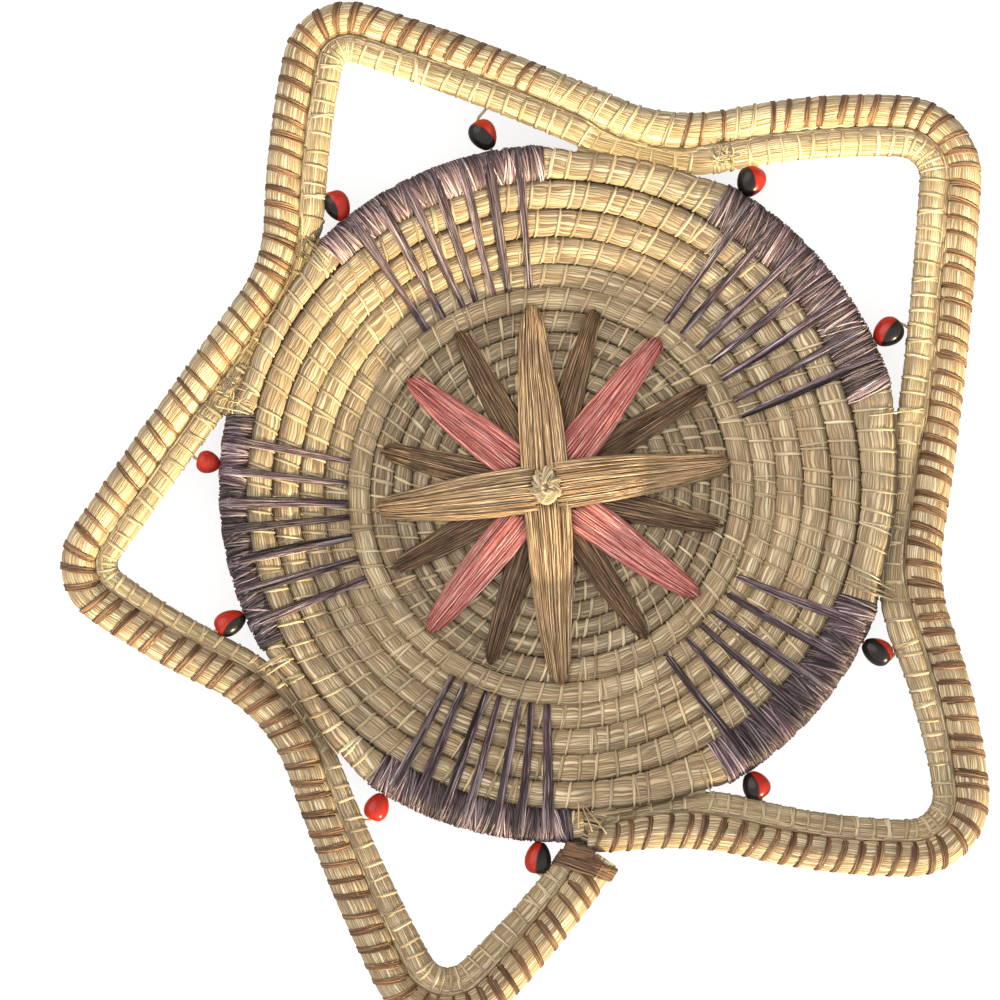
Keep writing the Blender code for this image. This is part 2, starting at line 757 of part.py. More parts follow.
def build_petal(kind, number, degrees, reach, collection):
    """One petal: a flat tapering bundle that follows the domed floor."""
    root = Vector(KNOT_CENTRE)
    tip = Vector(TIPS_CENTRE) + heading(degrees) * reach
    out = (tip - root).normalized()
    across = Vector((-out.y, out.x))
    length = (tip - root).length
    work = bmesh.new()
    rings = []
    for k in range(PETAL_STEPS + 1):
        share = k / PETAL_STEPS
        along = kind.base_at + (length - kind.base_at) * share
        foot = root + out * along
        half = 0.5 * (kind.base_width + (kind.tip_width - kind.base_width) * share)
        low = top_height(foot.length) + PETAL_LIFT + petal_stack(kind, along)
        high = low + kind.thickness
        top = PETAL_TOP_SHARE * half
        rings.append(ring_of(work, (upright(foot - across * half, low), upright(foot + across * half, low),
                                    upright(foot + across * top, high), upright(foot - across * top, high))))
    skin(work, rings)
    name = kind.name + "_petal_" + str(number)
    add_object(name, finish_mesh(name, work), kind.colour, 0.7, collection)


def build_petals(collection):
    """The sixteen petals of the raffia star, and the knot in its middle."""
    counts = {}
    for k, (degrees, reach) in enumerate(zip(PETAL_DEG, PETAL_REACH)):
        kind = PETAL_ORDER[k % len(PETAL_ORDER)]
        counts[kind.name] = counts.get(kind.name, 0) + 1
        build_petal(kind, counts[kind.name], degrees, reach, collection)
    work = bmesh.new()
    bmesh.ops.create_cone(work, cap_ends=True, segments=KNOT_SIDES, radius1=KNOT_RADIUS,
                          radius2=KNOT_RADIUS * KNOT_TOP_SHARE, depth=KNOT_HEIGHT)
    knot = add_object("centre_knot", finish_mesh("centre_knot", work), STRAW_COLOUR, 0.85, collection)
    knot.location = upright(Vector(KNOT_CENTRE), top_height(0.0) + TOUCH_GAP + 0.5 * KNOT_HEIGHT)


def seed_line(seed):
    """The point where a seed's strip leaves the rim, and the way it runs out through the seed."""
    edge = between_stations(lambda station: wrap_sections(station)[1][2], seed.rim_deg)
    lower = between_stations(lambda station: wrap_sections(station)[1][3], seed.rim_deg)
    start = edge.lerp(lower, 0.5)
    out = heading(seed.rim_deg + seed.lean_deg)
    return start, upright(out, 0.0)


def build_seed(seed, collection):
    """One seed, turned about its strip, with a bore for it."""
    start, out = seed_line(seed)
    half = 0.5 * seed.length
    belly = 0.5 * seed.width
    profile = ((SEED_BORE_RADIUS, half), (0.74 * belly, 0.64 * half), (belly, 0.0),
               (0.74 * belly, -0.64 * half), (SEED_BORE_RADIUS, -half))
    work = bmesh.new()
    points = ring_of(work, [(radius, 0.0, height) for radius, height in profile])
    for k, point in enumerate(points):
        work.edges.new((point, points[(k + 1) % len(points)]))
    mesh = bpy.data.meshes.new("seed_" + seed.name)
    work.to_mesh(mesh)
    work.free()
    placed = add_object("seed_" + seed.name, mesh, SEED_COLOUR, 0.2, collection)
    turning = placed.modifiers.new("turn", "SCREW")
    turning.steps = SEED_SIDES
    turning.render_steps = SEED_SIDES
    turning.use_merge_vertices = True
    turning.merge_threshold = 0.00001
    placed.rotation_mode = "QUATERNION"
    placed.rotation_quaternion = out.to_track_quat("Z", "Y")
    placed.location = start + out * (TOUCH_GAP + SEED_RIM_GAP + half)


def build_tie(seed, inner_points, inner_radii, collection):
    """The strip that runs from the rim through a seed to the border's inner coil."""
    start, out = seed_line(seed)
    near = start + out * 2.0 * TOUCH_GAP
    far = start + out * (TOUCH_GAP + 2.0 * SEED_RIM_GAP + seed.length)
    best = math.inf
    for k, (first, second) in enumerate(zip(inner_points, inner_points[1:])):
        foot, share = intersect_point_line(far, first, second)
        share = min(1.0, max(0.0, share))
        foot = first.lerp(second, share)
        radius = inner_radii[k] + (inner_radii[k + 1] - inner_radii[k]) * share
        if (foot - far).length - radius < best:
            best = (foot - far).length - radius
            end = foot - (foot - far).normalized() * (radius + TOUCH_GAP)
    points = [near, far]
    if best > 3.0 * TOUCH_GAP:
        points.append(end)
    mesh = tube_mesh("tie_" + seed.name, points, [TIE_RADIUS] * len(points), 0)
    add_object("tie_" + seed.name, mesh, STRAW_COLOUR, 0.85, collection)


def centre_on_floor(collection):
    """Moves the basket so that the middle of its box stands over the origin."""
    bpy.context.view_layer.update()
    graph = bpy.context.evaluated_depsgraph_get()
    corners = []
    for placed in collection.objects:
        mesh = placed.evaluated_get(graph).to_mesh()
        corners.extend(placed.matrix_world @ vertex.co for vertex in mesh.vertices)
    shift_x = 0.5 * (min(c.x for c in corners) + max(c.x for c in corners))
    shift_y = 0.5 * (min(c.y for c in corners) + max(c.y for c in corners))
    for placed in collection.objects:
        placed.location.x -= shift_x
        placed.location.y -= shift_y


def main():
    """Builds the basket."""
    for placed in list(bpy.data.objects):
        bpy.data.objects.remove(placed)
    collection = bpy.data.collections.new(OBJECT_NAME)
    bpy.context.scene.collection.children.link(collection)
    build_dish(collection)
    build_border(collection)
    build_binding(collection)
    for star in STAR_POINTS:
        build_wrap(star, collection)
    build_petals(collection)
    inner_points, inner_radii = inner_coil_line()
    for seed in SEEDS:
        build_seed(seed, collection)
        build_tie(seed, inner_points, inner_radii, collection)
    centre_on_floor(collection)


main()
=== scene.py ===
"""The looks of a coiled grass wall basket with a star border, raffia petals and seeds, over its solids."""
import json
import logging
import math
from dataclasses import dataclass
from enum import Enum

import bmesh
import bpy
import numpy as np
from mathutils import Matrix, Vector

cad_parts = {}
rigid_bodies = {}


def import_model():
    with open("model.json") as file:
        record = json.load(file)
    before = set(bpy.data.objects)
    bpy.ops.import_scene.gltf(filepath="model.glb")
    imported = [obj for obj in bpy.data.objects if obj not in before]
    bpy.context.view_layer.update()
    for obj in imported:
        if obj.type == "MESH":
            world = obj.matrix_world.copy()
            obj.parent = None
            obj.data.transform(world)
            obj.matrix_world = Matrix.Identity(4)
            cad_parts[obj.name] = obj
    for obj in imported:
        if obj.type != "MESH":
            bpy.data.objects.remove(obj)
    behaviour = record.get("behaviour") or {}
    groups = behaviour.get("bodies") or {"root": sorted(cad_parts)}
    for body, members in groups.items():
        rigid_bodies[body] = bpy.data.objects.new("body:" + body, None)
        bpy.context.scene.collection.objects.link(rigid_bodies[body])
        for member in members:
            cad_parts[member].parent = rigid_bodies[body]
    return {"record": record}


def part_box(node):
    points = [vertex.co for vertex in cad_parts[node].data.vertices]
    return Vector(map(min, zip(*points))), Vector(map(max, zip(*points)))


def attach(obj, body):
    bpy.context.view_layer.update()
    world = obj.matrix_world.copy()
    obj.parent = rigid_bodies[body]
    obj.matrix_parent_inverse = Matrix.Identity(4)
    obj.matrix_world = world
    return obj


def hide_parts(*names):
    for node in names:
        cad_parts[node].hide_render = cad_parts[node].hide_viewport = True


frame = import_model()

Numbers = np.ndarray | float
Line = dict[str, np.ndarray]
Socket = bpy.types.NodeSocket
LOG = logging.getLogger("basket")
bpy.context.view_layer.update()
BASE_RING_MIDDLE = 0.0617
BASE_MOUNT = frame["record"]["mounts"][0]["pos_m"]
AXIS = np.array((BASE_MOUNT[0] - BASE_RING_MIDDLE, BASE_MOUNT[1], 0.0))
TURN = 2.0 * math.pi
UPWARD = np.array((0.0, 0.0, 1.0))
MILLIMETRES = 1000.0

# The step between the points of the border's lines, and the share by which stitches stray from even places
LINE_STEP = 0.0013
STITCH_JITTER = 0.16


def linear(colour: tuple[float, float, float]) -> tuple[float, ...]:
    """Turns a display colour of 0 to 255 into Blender's linear colour with full alpha."""
    shares = [part / 255.0 for part in colour]
    return (*(share / 12.92 if share <= 0.04045 else ((share + 0.055) / 1.055) ** 2.4
              for share in shares), 1.0)


def smooth(value: Numbers) -> np.ndarray:
    """Runs from 0 to 1 with level ends as value runs from 0 to 1."""
    value = np.clip(value, 0.0, 1.0)
    return value * value * (3.0 - 2.0 * value)


def unit(vectors: np.ndarray) -> np.ndarray:
    """The same vectors, each of length 1."""
    return vectors / np.maximum(np.linalg.norm(vectors, axis=-1, keepdims=True), 1e-12)


def polar(radius: Numbers, degrees: Numbers, height: Numbers = 0.0) -> np.ndarray:
    """Points at a radius and an angle about the dish's axis, at a height.

    Args:
        radius: The distance from the axis in metres.
        degrees: The angle, counterclockwise from +X.
        height: The height over the floor in metres.

    Returns:
        The points, with x, y and z last.
    """
    angle = np.radians(degrees)
    radius, angle, height = np.broadcast_arrays(radius, angle, height)
    return np.stack((radius * np.cos(angle), radius * np.sin(angle), height), axis=-1) + AXIS


def heading(degrees: Numbers) -> np.ndarray:
    """Unit vectors in plan."""
    angle = np.radians(degrees)
    return np.stack((np.cos(angle), np.sin(angle)), axis=-1)


def bearing(plan: np.ndarray) -> np.ndarray:
    """The angle in degrees at which points lie in plan."""
    return np.degrees(np.arctan2(plan[..., 1], plan[..., 0]))


def shortest_turn(degrees: Numbers) -> np.ndarray:
    """The same turn, from -180 to 180 degrees."""
    return (degrees + 180.0) % 360.0 - 180.0


def running_length(steps: np.ndarray) -> np.ndarray:
    """The length along a line at each of its points, from the steps between them."""
    return np.concatenate(([0.0], np.cumsum(steps)))


def at_lengths(wanted: np.ndarray, lengths: np.ndarray, line: np.ndarray) -> np.ndarray:
    """The points of a line at the wanted lengths along it."""
    return np.stack([np.interp(wanted, lengths, column) for column in line.T], axis=-1)


def part_way(begin: np.ndarray, finish: np.ndarray, share: np.ndarray) -> np.ndarray:
    """Points at shares of the way from one place to another."""
    return begin + (finish - begin) * share[:, None]


@dataclass(frozen=True)
class StarPoint:
    """One point of the star border: the valley before it, its arms and tip, and the rim section inside it."""

    name: str
    valley: tuple[float, float, float]
    tip: tuple[float, float, float]
    arm_radii: tuple[float, float]
    inner_radii: tuple[float, float]
    rim_reach: float
    wrap_deg: tuple[float, float]
    stitch_deg: tuple[float, float]
    stitches: int


STAR_POINTS = (
    StarPoint("lower_right", (0.2069, 280.8, 0.0896), (0.1537, 318.4, 0.0210), (0.228, 0.215),
              (0.0036, 0.0034), 0.1115, (299.5, 339.0), (303.8, 334.5), 6),
    StarPoint("upper_right", (0.1866, 351.9, 0.0640), (0.1548, 42.5, 0.0216), (1.170, 0.233),
              (0.0046, 0.0044), 0.1145, (16.5, 61.0), (22.0, 56.0), 7),
    StarPoint("upper_left", (0.1877, 76.9, 0.0635), (0.1559, 117.0, 0.0164), (0.700, 0.320),
              (0.0044, 0.0040), 0.1129, (93.5, 135.0), (97.5, 128.5), 7),
    StarPoint("left", (0.1678, 148.3, 0.0499), (0.1450, 190.6, 0.0158), (3.000, 0.278),
              (0.0040, 0.0032), 0.1117, (168.0, 209.0), (172.5, 204.5), 7),
    StarPoint("bottom", (0.1761, 219.4, 0.0549), (0.1562, 256.1, 0.0207), (0.550, 0.303),
              (0.0027, 0.0042), 0.1164, (237.0, 271.4), (240.5, 267.3), 7),
)


@dataclass(frozen=True)
class DishForm:
    """The dish's sizes, and where its one coil lies, as in the solids."""

    floor_rounds: int = 9
    wall_rounds: int = 6
    floor_pitch: float = 0.0063
    wall_pitch: float = 0.0084
    floor_half: float = 0.0031
    wall_half: float = 0.0044
    dome_rise: float = 0.0080
    rim_rise: float = 0.0216
    base_ring_width: float = 0.0100
    valley_slimming: float = 0.0016
    coil_end_deg: float = 273.4
    wrap_room: float = 0.0009

    @property
    def rounds(self) -> int:
        """How many rounds the coil makes."""
        return self.floor_rounds + self.wall_rounds

    @property
    def floor_radius(self) -> float:
        """The radius of the floor's narrow rounds."""
        return self.floor_rounds * self.floor_pitch

    @property
    def rim_inner(self) -> float:
        """The radius of the last round's inner seam where it starts."""
        return self.floor_radius + (self.wall_rounds - 1) * self.wall_pitch

    def turn_share(self, degrees: Numbers) -> np.ndarray:
        """How far round the last turn an angle lies."""
        return ((np.asarray(degrees) - self.coil_end_deg) % 360.0) / 360.0

    def degrees(self, turns: Numbers) -> np.ndarray:
        """The angle of the coil after so many turns."""
        return self.coil_end_deg + 360.0 * np.asarray(turns)

    def wrapped_share(self, degrees: Numbers) -> np.ndarray:
        """Tells purple sections from valleys, with a short ramp between.

        Args:
            degrees: The angle, counterclockwise from +X.

        Returns:
            1 inside a section and 0 in a valley.
        """
        best = np.zeros_like(np.asarray(degrees, dtype=float))
        for point in STAR_POINTS:
            first, last = point.wrap_deg
            middle = 0.5 * (first + last)
            away = np.abs(shortest_turn(degrees - middle)) - 0.5 * (last - first)
            best = np.maximum(best, 1.0 - smooth(away / 7.0))
        return best

    def seam_radius(self, turns: Numbers) -> np.ndarray:
        """The radius of the seam on the coil's inner side after so many turns."""
        floor = np.minimum(turns, self.floor_rounds)
        return floor * self.floor_pitch + (turns - floor) * self.wall_pitch

    def rim_edge(self, share: Numbers) -> np.ndarray:
        """Finds the rim's outer radius, which differs a little from section to section.

        Args:
            share: How far round the last turn.

        Returns:
            The radius.
        """
        share = np.asarray(share, dtype=float)
        reach = np.full_like(share, STAR_POINTS[0].rim_reach)
        for before, after in zip(STAR_POINTS, STAR_POINTS[1:]):
            leaving = float(self.turn_share(before.wrap_deg[1]))
            arriving = float(self.turn_share(after.wrap_deg[0]))
            reach = reach + (after.rim_reach - before.rim_reach) * smooth(
                (share - leaving) / (arriving - leaving))
        reach = reach - self.valley_slimming * (1.0 - self.wrapped_share(self.degrees(share)))
        seam = self.rim_inner + self.wall_pitch
        return seam + (reach - seam) * smooth(share / 0.07)

    def outer_radius(self, turns: Numbers) -> np.ndarray:
        """Finds the radius of the coil's outer seam, or of the rim's edge in the last turn.

        Args:
            turns: How far along the coil, in turns.

        Returns:
            The radius.
        """
        turns = np.asarray(turns, dtype=float)
        last = turns >= self.rounds - 1
        return np.where(last, self.rim_edge(np.clip(turns - self.rounds + 1, 0.0, 1.0)),
                        self.seam_radius(turns + 1.0))

    def middle_height(self, radius: Numbers) -> np.ndarray:
        """Finds the height of the middle of the dish's wall.

        Args:
            radius: The distance from the axis.

        Returns:
            The height.
        """
        base_outer = self.floor_radius + self.base_ring_width
        rim_radius = STAR_POINTS[0].rim_reach
        dome = 0.5 + 0.5 * np.cos(math.pi * np.minimum(1.0, np.asarray(radius) / self.floor_radius))
        rise = smooth((radius - base_outer) / (rim_radius - base_outer))
        return self.wall_half + self.dome_rise * dome + self.rim_rise * rise

    def slope(self, radius: Numbers) -> np.ndarray:
        """How steeply the wall rises outwards at a radius."""
        step = 0.001
        return (self.middle_height(radius + step) - self.middle_height(radius - step)) / (2.0 * step)

    def half_thickness(self, radius: Numbers) -> np.ndarray:
        """Finds half the wall's thickness, thinner in the floor.

        Args:
            radius: The distance from the axis.

        Returns:
            The half.
        """
        start = self.floor_radius - 2.0 * self.floor_pitch
        return self.floor_half + (self.wall_half - self.floor_half) * smooth(
            (radius - start) / (self.floor_radius - start))

    def top_height(self, radius: Numbers) -> np.ndarray:
        """The height of the dish's upper face at a crest."""
        return self.middle_height(radius) + self.half_thickness(radius) * np.hypot(1.0, self.slope(radius))

    def coil_point(self, turns: np.ndarray, around: np.ndarray, lift: Numbers = 0.0,
                   squareness: float = 0.78) -> tuple[np.ndarray, np.ndarray]:
        """Points on the coil's surface and the way out of it there.

        Args:
            turns: How far along the coil, in turns.
            around: The angle round the coil in degrees: 0 faces out, 90 up, 180 in.
            lift: How far out of the surface, in metres.
            squareness: Below 1, the coil is flatter on its top and sides.

        Returns:
            The points and the unit normals, with x, y and z last.
        """
        turns, around, lift = np.broadcast_arrays(np.asarray(turns, float), np.asarray(around, float), lift)
        inner = self.seam_radius(turns)
        outer = self.outer_radius(turns)
        middle = 0.5 * (inner + outer)
        slope = self.slope(middle)
        stretch = np.hypot(1.0, slope)
        half_width = 0.5 * (outer - inner) * stretch * 1.02
        half_height = self.half_thickness(middle)
        angle = np.radians(around)
        cos, sin = np.cos(angle), np.sin(angle)
        along = half_width * np.sign(cos) * np.abs(cos) ** squareness
        above = half_height * np.sign(sin) * np.abs(sin) ** squareness
        nx, nz = cos / half_width, sin / half_height
        size = np.hypot(nx, nz)
        nx, nz = nx / size, nz / size
        along = along + nx * lift
        above = above + nz * lift
        degrees = self.degrees(turns)
        radius = middle + (along - above * slope) / stretch
        height = self.middle_height(middle) + (along * slope + above) / stretch
        out = (nx - nz * slope) / stretch
        up = (nx * slope + nz) / stretch
        plan = heading(degrees)
        normal = np.stack((out * plan[..., 0], out * plan[..., 1], up), axis=-1)
        return polar(radius, degrees, height), normal

    def evenly(self, first: float, last: float, step: float) -> tuple[np.ndarray, np.ndarray]:
        """Places along the coil a step apart.

        Args:
            first: The first place, in turns.
            last: The last place, in turns.
            step: The distance between places in metres.

        Returns:
            The places in turns and the distance of each along the coil.
        """
        fine = np.linspace(first, last, 20000)
        radius = 0.5 * (self.seam_radius(fine) + self.outer_radius(fine))
        lengths = running_length(TURN * 0.5 * (radius[1:] + radius[:-1]) * np.diff(fine))
        count = max(2, int(round(lengths[-1] / step)) + 1)
        wanted = np.linspace(0.0, lengths[-1], count)
        return np.interp(wanted, lengths, fine), wanted


DISH = DishForm()


@dataclass(frozen=True)
class BorderForm:
    """The star border's two rounds of coil, as in the solids: route, radii and how the inner one sinks."""

    outer_radius: float = 0.0055
    coil_gap: float = 0.0006
    rim_room: float = 0.0010
    height: float = 0.0264
    start_length: float = 0.0140
    start_bend_radius: float = 0.0600
    end_reach: float = 0.1228
    end_deg: float = 276.2
    end_inner_radius: float = 0.0029
    start_trim: float = 0.0024
    end_trim: float = 0.0056
    binding_setback: float = 0.0060
    binding_width: float = 0.0042
    binding_lead: float = 0.0050
    taper_length: float = 0.034
    outer_taper: float = 0.75
    inner_taper: float = 0.40

    def bends(self) -> list[tuple[np.ndarray, float, float, float, float]]:
        """Lays out the circles that the route follows, counterclockwise.

        Returns:
            Each circle's centre, radius and side, and the inner coil's radii there.
        """
        def arm(valley: tuple, tip: tuple, radius: float, outward: bool) -> tuple:
            """Finds the wide circle that touches a valley's circle and a tip's.

            Args:
                valley: The valley's circle.
                tip: The tip's circle.
                radius: The arm's own radius.
                outward: Whether the route runs out to the tip.

            Returns:
                The arm's circle.
            """
            between = tip[0] - valley[0]
            length = float(np.hypot(*between))
            to_valley = radius + valley[1]
            to_tip = radius - tip[1]
            along = 0.5 * (length ** 2 + to_valley ** 2 - to_tip ** 2) / length
            away = math.sqrt(to_valley ** 2 - along ** 2) * (1.0 if outward else -1.0)
            forward = between / length
            centre = valley[0] + forward * along + np.array((-forward[1], forward[0])) * away
            radii = (valley[4], tip[3]) if outward else (tip[4], valley[3])
            return (centre, radius, 1.0, *radii)

        bends: list[tuple] = []
        for star in STAR_POINTS:
            valley_inner, tip_inner = star.inner_radii
            valley = (heading(star.valley[1]) * star.valley[0], star.valley[2], -1.0,
                      valley_inner, valley_inner)
            if bends:
                bends.append(arm(valley, tip, returning, False))
            else:
                start = heading(star.valley[1]) * (star.valley[0] - star.valley[2] - self.start_bend_radius)
                bends.append((start, self.start_bend_radius, 1.0, valley_inner, valley_inner))
            tip = (heading(star.tip[1]) * star.tip[0], star.tip[2], 1.0, tip_inner, tip_inner)
            leaving, returning = star.arm_radii
            bends.extend((valley, arm(valley, tip, leaving, True), tip))
        end = (heading(self.end_deg) * self.end_reach, 0.0, -1.0,
               self.end_inner_radius, self.end_inner_radius)
        bends.extend((arm(end, tip, returning, False), end))
        return bends

    def route(self, step: float) -> tuple[np.ndarray, np.ndarray, np.ndarray, np.ndarray]:
        """The outer coil's centre line.

        Args:
            step: The distance between its points in metres.

        Returns:
            The points in plan about the axis, the headings in degrees, the inner radii and the lengths.
        """
        bends = self.bends()
        arriving = STAR_POINTS[0].valley[1] + 90.0 - math.degrees(self.start_length / self.start_bend_radius)
        places, courses, radii = [], [], []
        for (centre, radius, side, inner_a, inner_b), following in zip(bends, bends[1:]):
            left = (following[0] - centre) / (following[2] * following[1] - side * radius)
            leaving = math.degrees(math.atan2(left[1], left[0])) - 90.0
            turn = shortest_turn(leaving - arriving)
            count = max(2, int(math.radians(abs(turn)) * radius / 0.0004))
            share = np.arange(count) / count
            course = arriving + turn * share
            places.append(centre - heading(course + 90.0) * radius * side)
            courses.append(course)
            radii.append(inner_a + (inner_b - inner_a) * share)
            arriving += turn
        places.append(bends[-1][0][None])
        courses.append(np.array([arriving]))
        radii.append(np.array([bends[-1][3]]))
        place, course, inner = np.concatenate(places), np.concatenate(courses), np.concatenate(radii)
        lengths = running_length(np.hypot(*np.diff(place, axis=0).T))
        wanted = np.linspace(0.0, lengths[-1], int(lengths[-1] / step) + 1)
        course, inner = np.interp(wanted, lengths, course), np.interp(wanted, lengths, inner)
        return at_lengths(wanted, lengths, place), course, inner, wanted

    def taper(self, along: np.ndarray, share: float) -> np.ndarray:
        """A coil's radius near its start, as a share of its full radius."""
        return share + (1.0 - share) * smooth(along / self.taper_length)

    def rim_clearance(self, radius: np.ndarray, height: np.ndarray, degrees: np.ndarray) -> np.ndarray:
        """Measures how far points are from the rim, less the raffia wound on it.

        Args:
            radius: Their distances from the axis.
            height: Their heights.
            degrees: Their angles.

        Returns:
            The distances to the rim's cross-section.
        """
        share = DISH.turn_share(degrees)
        edge = DISH.rim_edge(share)
        crest = 0.5 * (DISH.seam_radius(DISH.rounds - 1 + share) + edge)
        middle = DISH.middle_height(edge)
        under_r = np.full_like(edge, DISH.floor_radius + (DISH.wall_rounds - 0.5) * DISH.wall_pitch)
        under_z = DISH.middle_height(under_r) - DISH.wall_half * np.hypot(1.0, DISH.slope(under_r))
        corners = [(crest, DISH.top_height(crest)), (edge, middle + 0.0022), (edge, middle - 0.0022),
                   (under_r, under_z)]
        best = np.full_like(edge, np.inf)
        for (ra, za), (rb, zb) in zip(corners, corners[1:]):
            dr, dz = rb - ra, zb - za
            share_along = np.clip(((radius - ra) * dr + (height - za) * dz) / (dr * dr + dz * dz), 0.0, 1.0)
            best = np.minimum(best, np.hypot(radius - ra - share_along * dr, height - za - share_along * dz))
        return best - DISH.wrap_room * DISH.wrapped_share(degrees)

    def outer_line(self, step: float) -> Line:
        """Finds the outer coil's line.

        Args:
            step: The distance between its points.

        Returns:
            Its points, headings, lengths and radii.
        """
        place, course, _, along = self.route(step)
        points = np.column_stack((place, np.full(len(place), self.height))) + AXIS
        return {"points": points, "course": course, "along": along,
                "radius": self.outer_radius * self.taper(along, self.outer_taper)}

    def inner_line(self, step: float) -> Line:
        """Finds the inner coil's line, which sinks where the rim leaves it no room.

        Args:
            step: The distance between its points.

        Returns:
            Its points, headings, lengths, radii and sinking angles.
        """
        place, course, inner, along = self.route(step)
        keep = (along >= self.start_trim) & (along <= along[-1] - self.end_trim)
        place, course, inner, along = place[keep], course[keep], inner[keep], along[keep]
        radius = inner * self.taper(along, self.inner_taper)
        apart = self.outer_radius * self.taper(along, self.outer_taper) + radius + self.coil_gap
        inward = heading(course + 90.0)
        sink = np.full(len(place), 85.0)
        for degrees in range(84, -1, -1):
            angle = math.radians(degrees)
            point = place + inward * (apart * math.cos(angle))[:, None]
            height = self.height - apart * math.sin(angle)
            clear = self.rim_clearance(np.hypot(*point.T), height, bearing(point))
            sink = np.where(clear >= radius + self.rim_room, degrees, sink)
        kernel = np.hanning(13)
        padded = np.pad(sink, 6, mode="edge")
        sink = np.maximum(sink, np.convolve(padded, kernel / kernel.sum(), mode="valid"))
        angle = np.radians(sink)
        point = place + inward * (apart * np.cos(angle))[:, None]
        points = np.column_stack((point, self.height - apart * np.sin(angle))) + AXIS
        return {"points": points, "course": course, "along": along, "radius": radius, "sink": sink}


BORDER = BorderForm()


class Slot(Enum):
    """The record's material slots."""

    GRASS = "grass_coil"
    BORDER = "border_coil"
    BROWN = "brown_raffia"
    PURPLE = "purple_raffia"
    TAN = "tan_raffia"
    PINK = "pink_raffia"
    SEED = "seed"


class NodeSketch:
    """Short calls that add, set and link the nodes of one tree."""

    def __init__(self, tree: bpy.types.NodeTree) -> None:
        """Starts on a tree."""
        self.tree = tree

    def add(self, kind: str, inputs: dict | None = None, **settings: object) -> bpy.types.Node:
        """Adds a node.

        Args:
            kind: Blender's name for the node type.
            inputs: Input name or number to a value or to the output that feeds it.
            settings: The node's own settings.

        Returns:
            The node.
        """
        node = self.tree.nodes.new(kind)
        for name, value in settings.items():
            setattr(node, name, value)
        self.feed(node, inputs or {})
        return node

    def feed(self, node: bpy.types.Node, inputs: dict) -> None:
        """Sets a node's inputs.

        Args:
            node: The node.
            inputs: Input name or number to a value or to the output that feeds it.
        """
        for name, value in inputs.items():
            if isinstance(value, Socket):
                self.tree.links.new(value, node.inputs[name])
            else:
                node.inputs[name].default_value = value

    def math(self, operation: str, first: object, second: object = 0.0, third: object = 0.0) -> Socket:
        """Adds a Math node and returns its output."""
        return self.add("ShaderNodeMath", {0: first, 1: second, 2: third}, operation=operation).outputs[0]

    def ramp(self, factor: Socket, stops: list[tuple[float, tuple]]) -> Socket:
        """Adds a colour ramp.

        Args:
            factor: What it reads.
            stops: The place and the colour of each stop.

        Returns:
            Its colour.
        """
        node = self.add("ShaderNodeValToRGB", {0: factor})
        while len(node.color_ramp.elements) < len(stops):
            node.color_ramp.elements.new(0.5)
        for element, (position, colour) in zip(node.color_ramp.elements, stops):
            element.position = position
            element.color = colour
        return node.outputs[0]

    def mix(self, factor: object, first: object, second: object) -> Socket:
        """Adds a colour Mix node.

        Args:
            factor: The share of the second colour.
            first: The first colour.
            second: The second colour.

        Returns:
            Its colour.
        """
        node = self.add("ShaderNodeMix", data_type="RGBA", blend_type="MIX")
        self.feed(node, {0: factor, 6: first, 7: second})
        return node.outputs[2]


def new_material(name: str) -> tuple[bpy.types.Material, NodeSketch, bpy.types.Node]:
    """Makes a material.

    Args:
        name: The material's name.

    Returns:
        The material, a sketch of its nodes, and its shader.
    """
    material = bpy.data.materials.new(name)
    material.use_nodes = True
    return material, NodeSketch(material.node_tree), material.node_tree.nodes["Principled BSDF"]


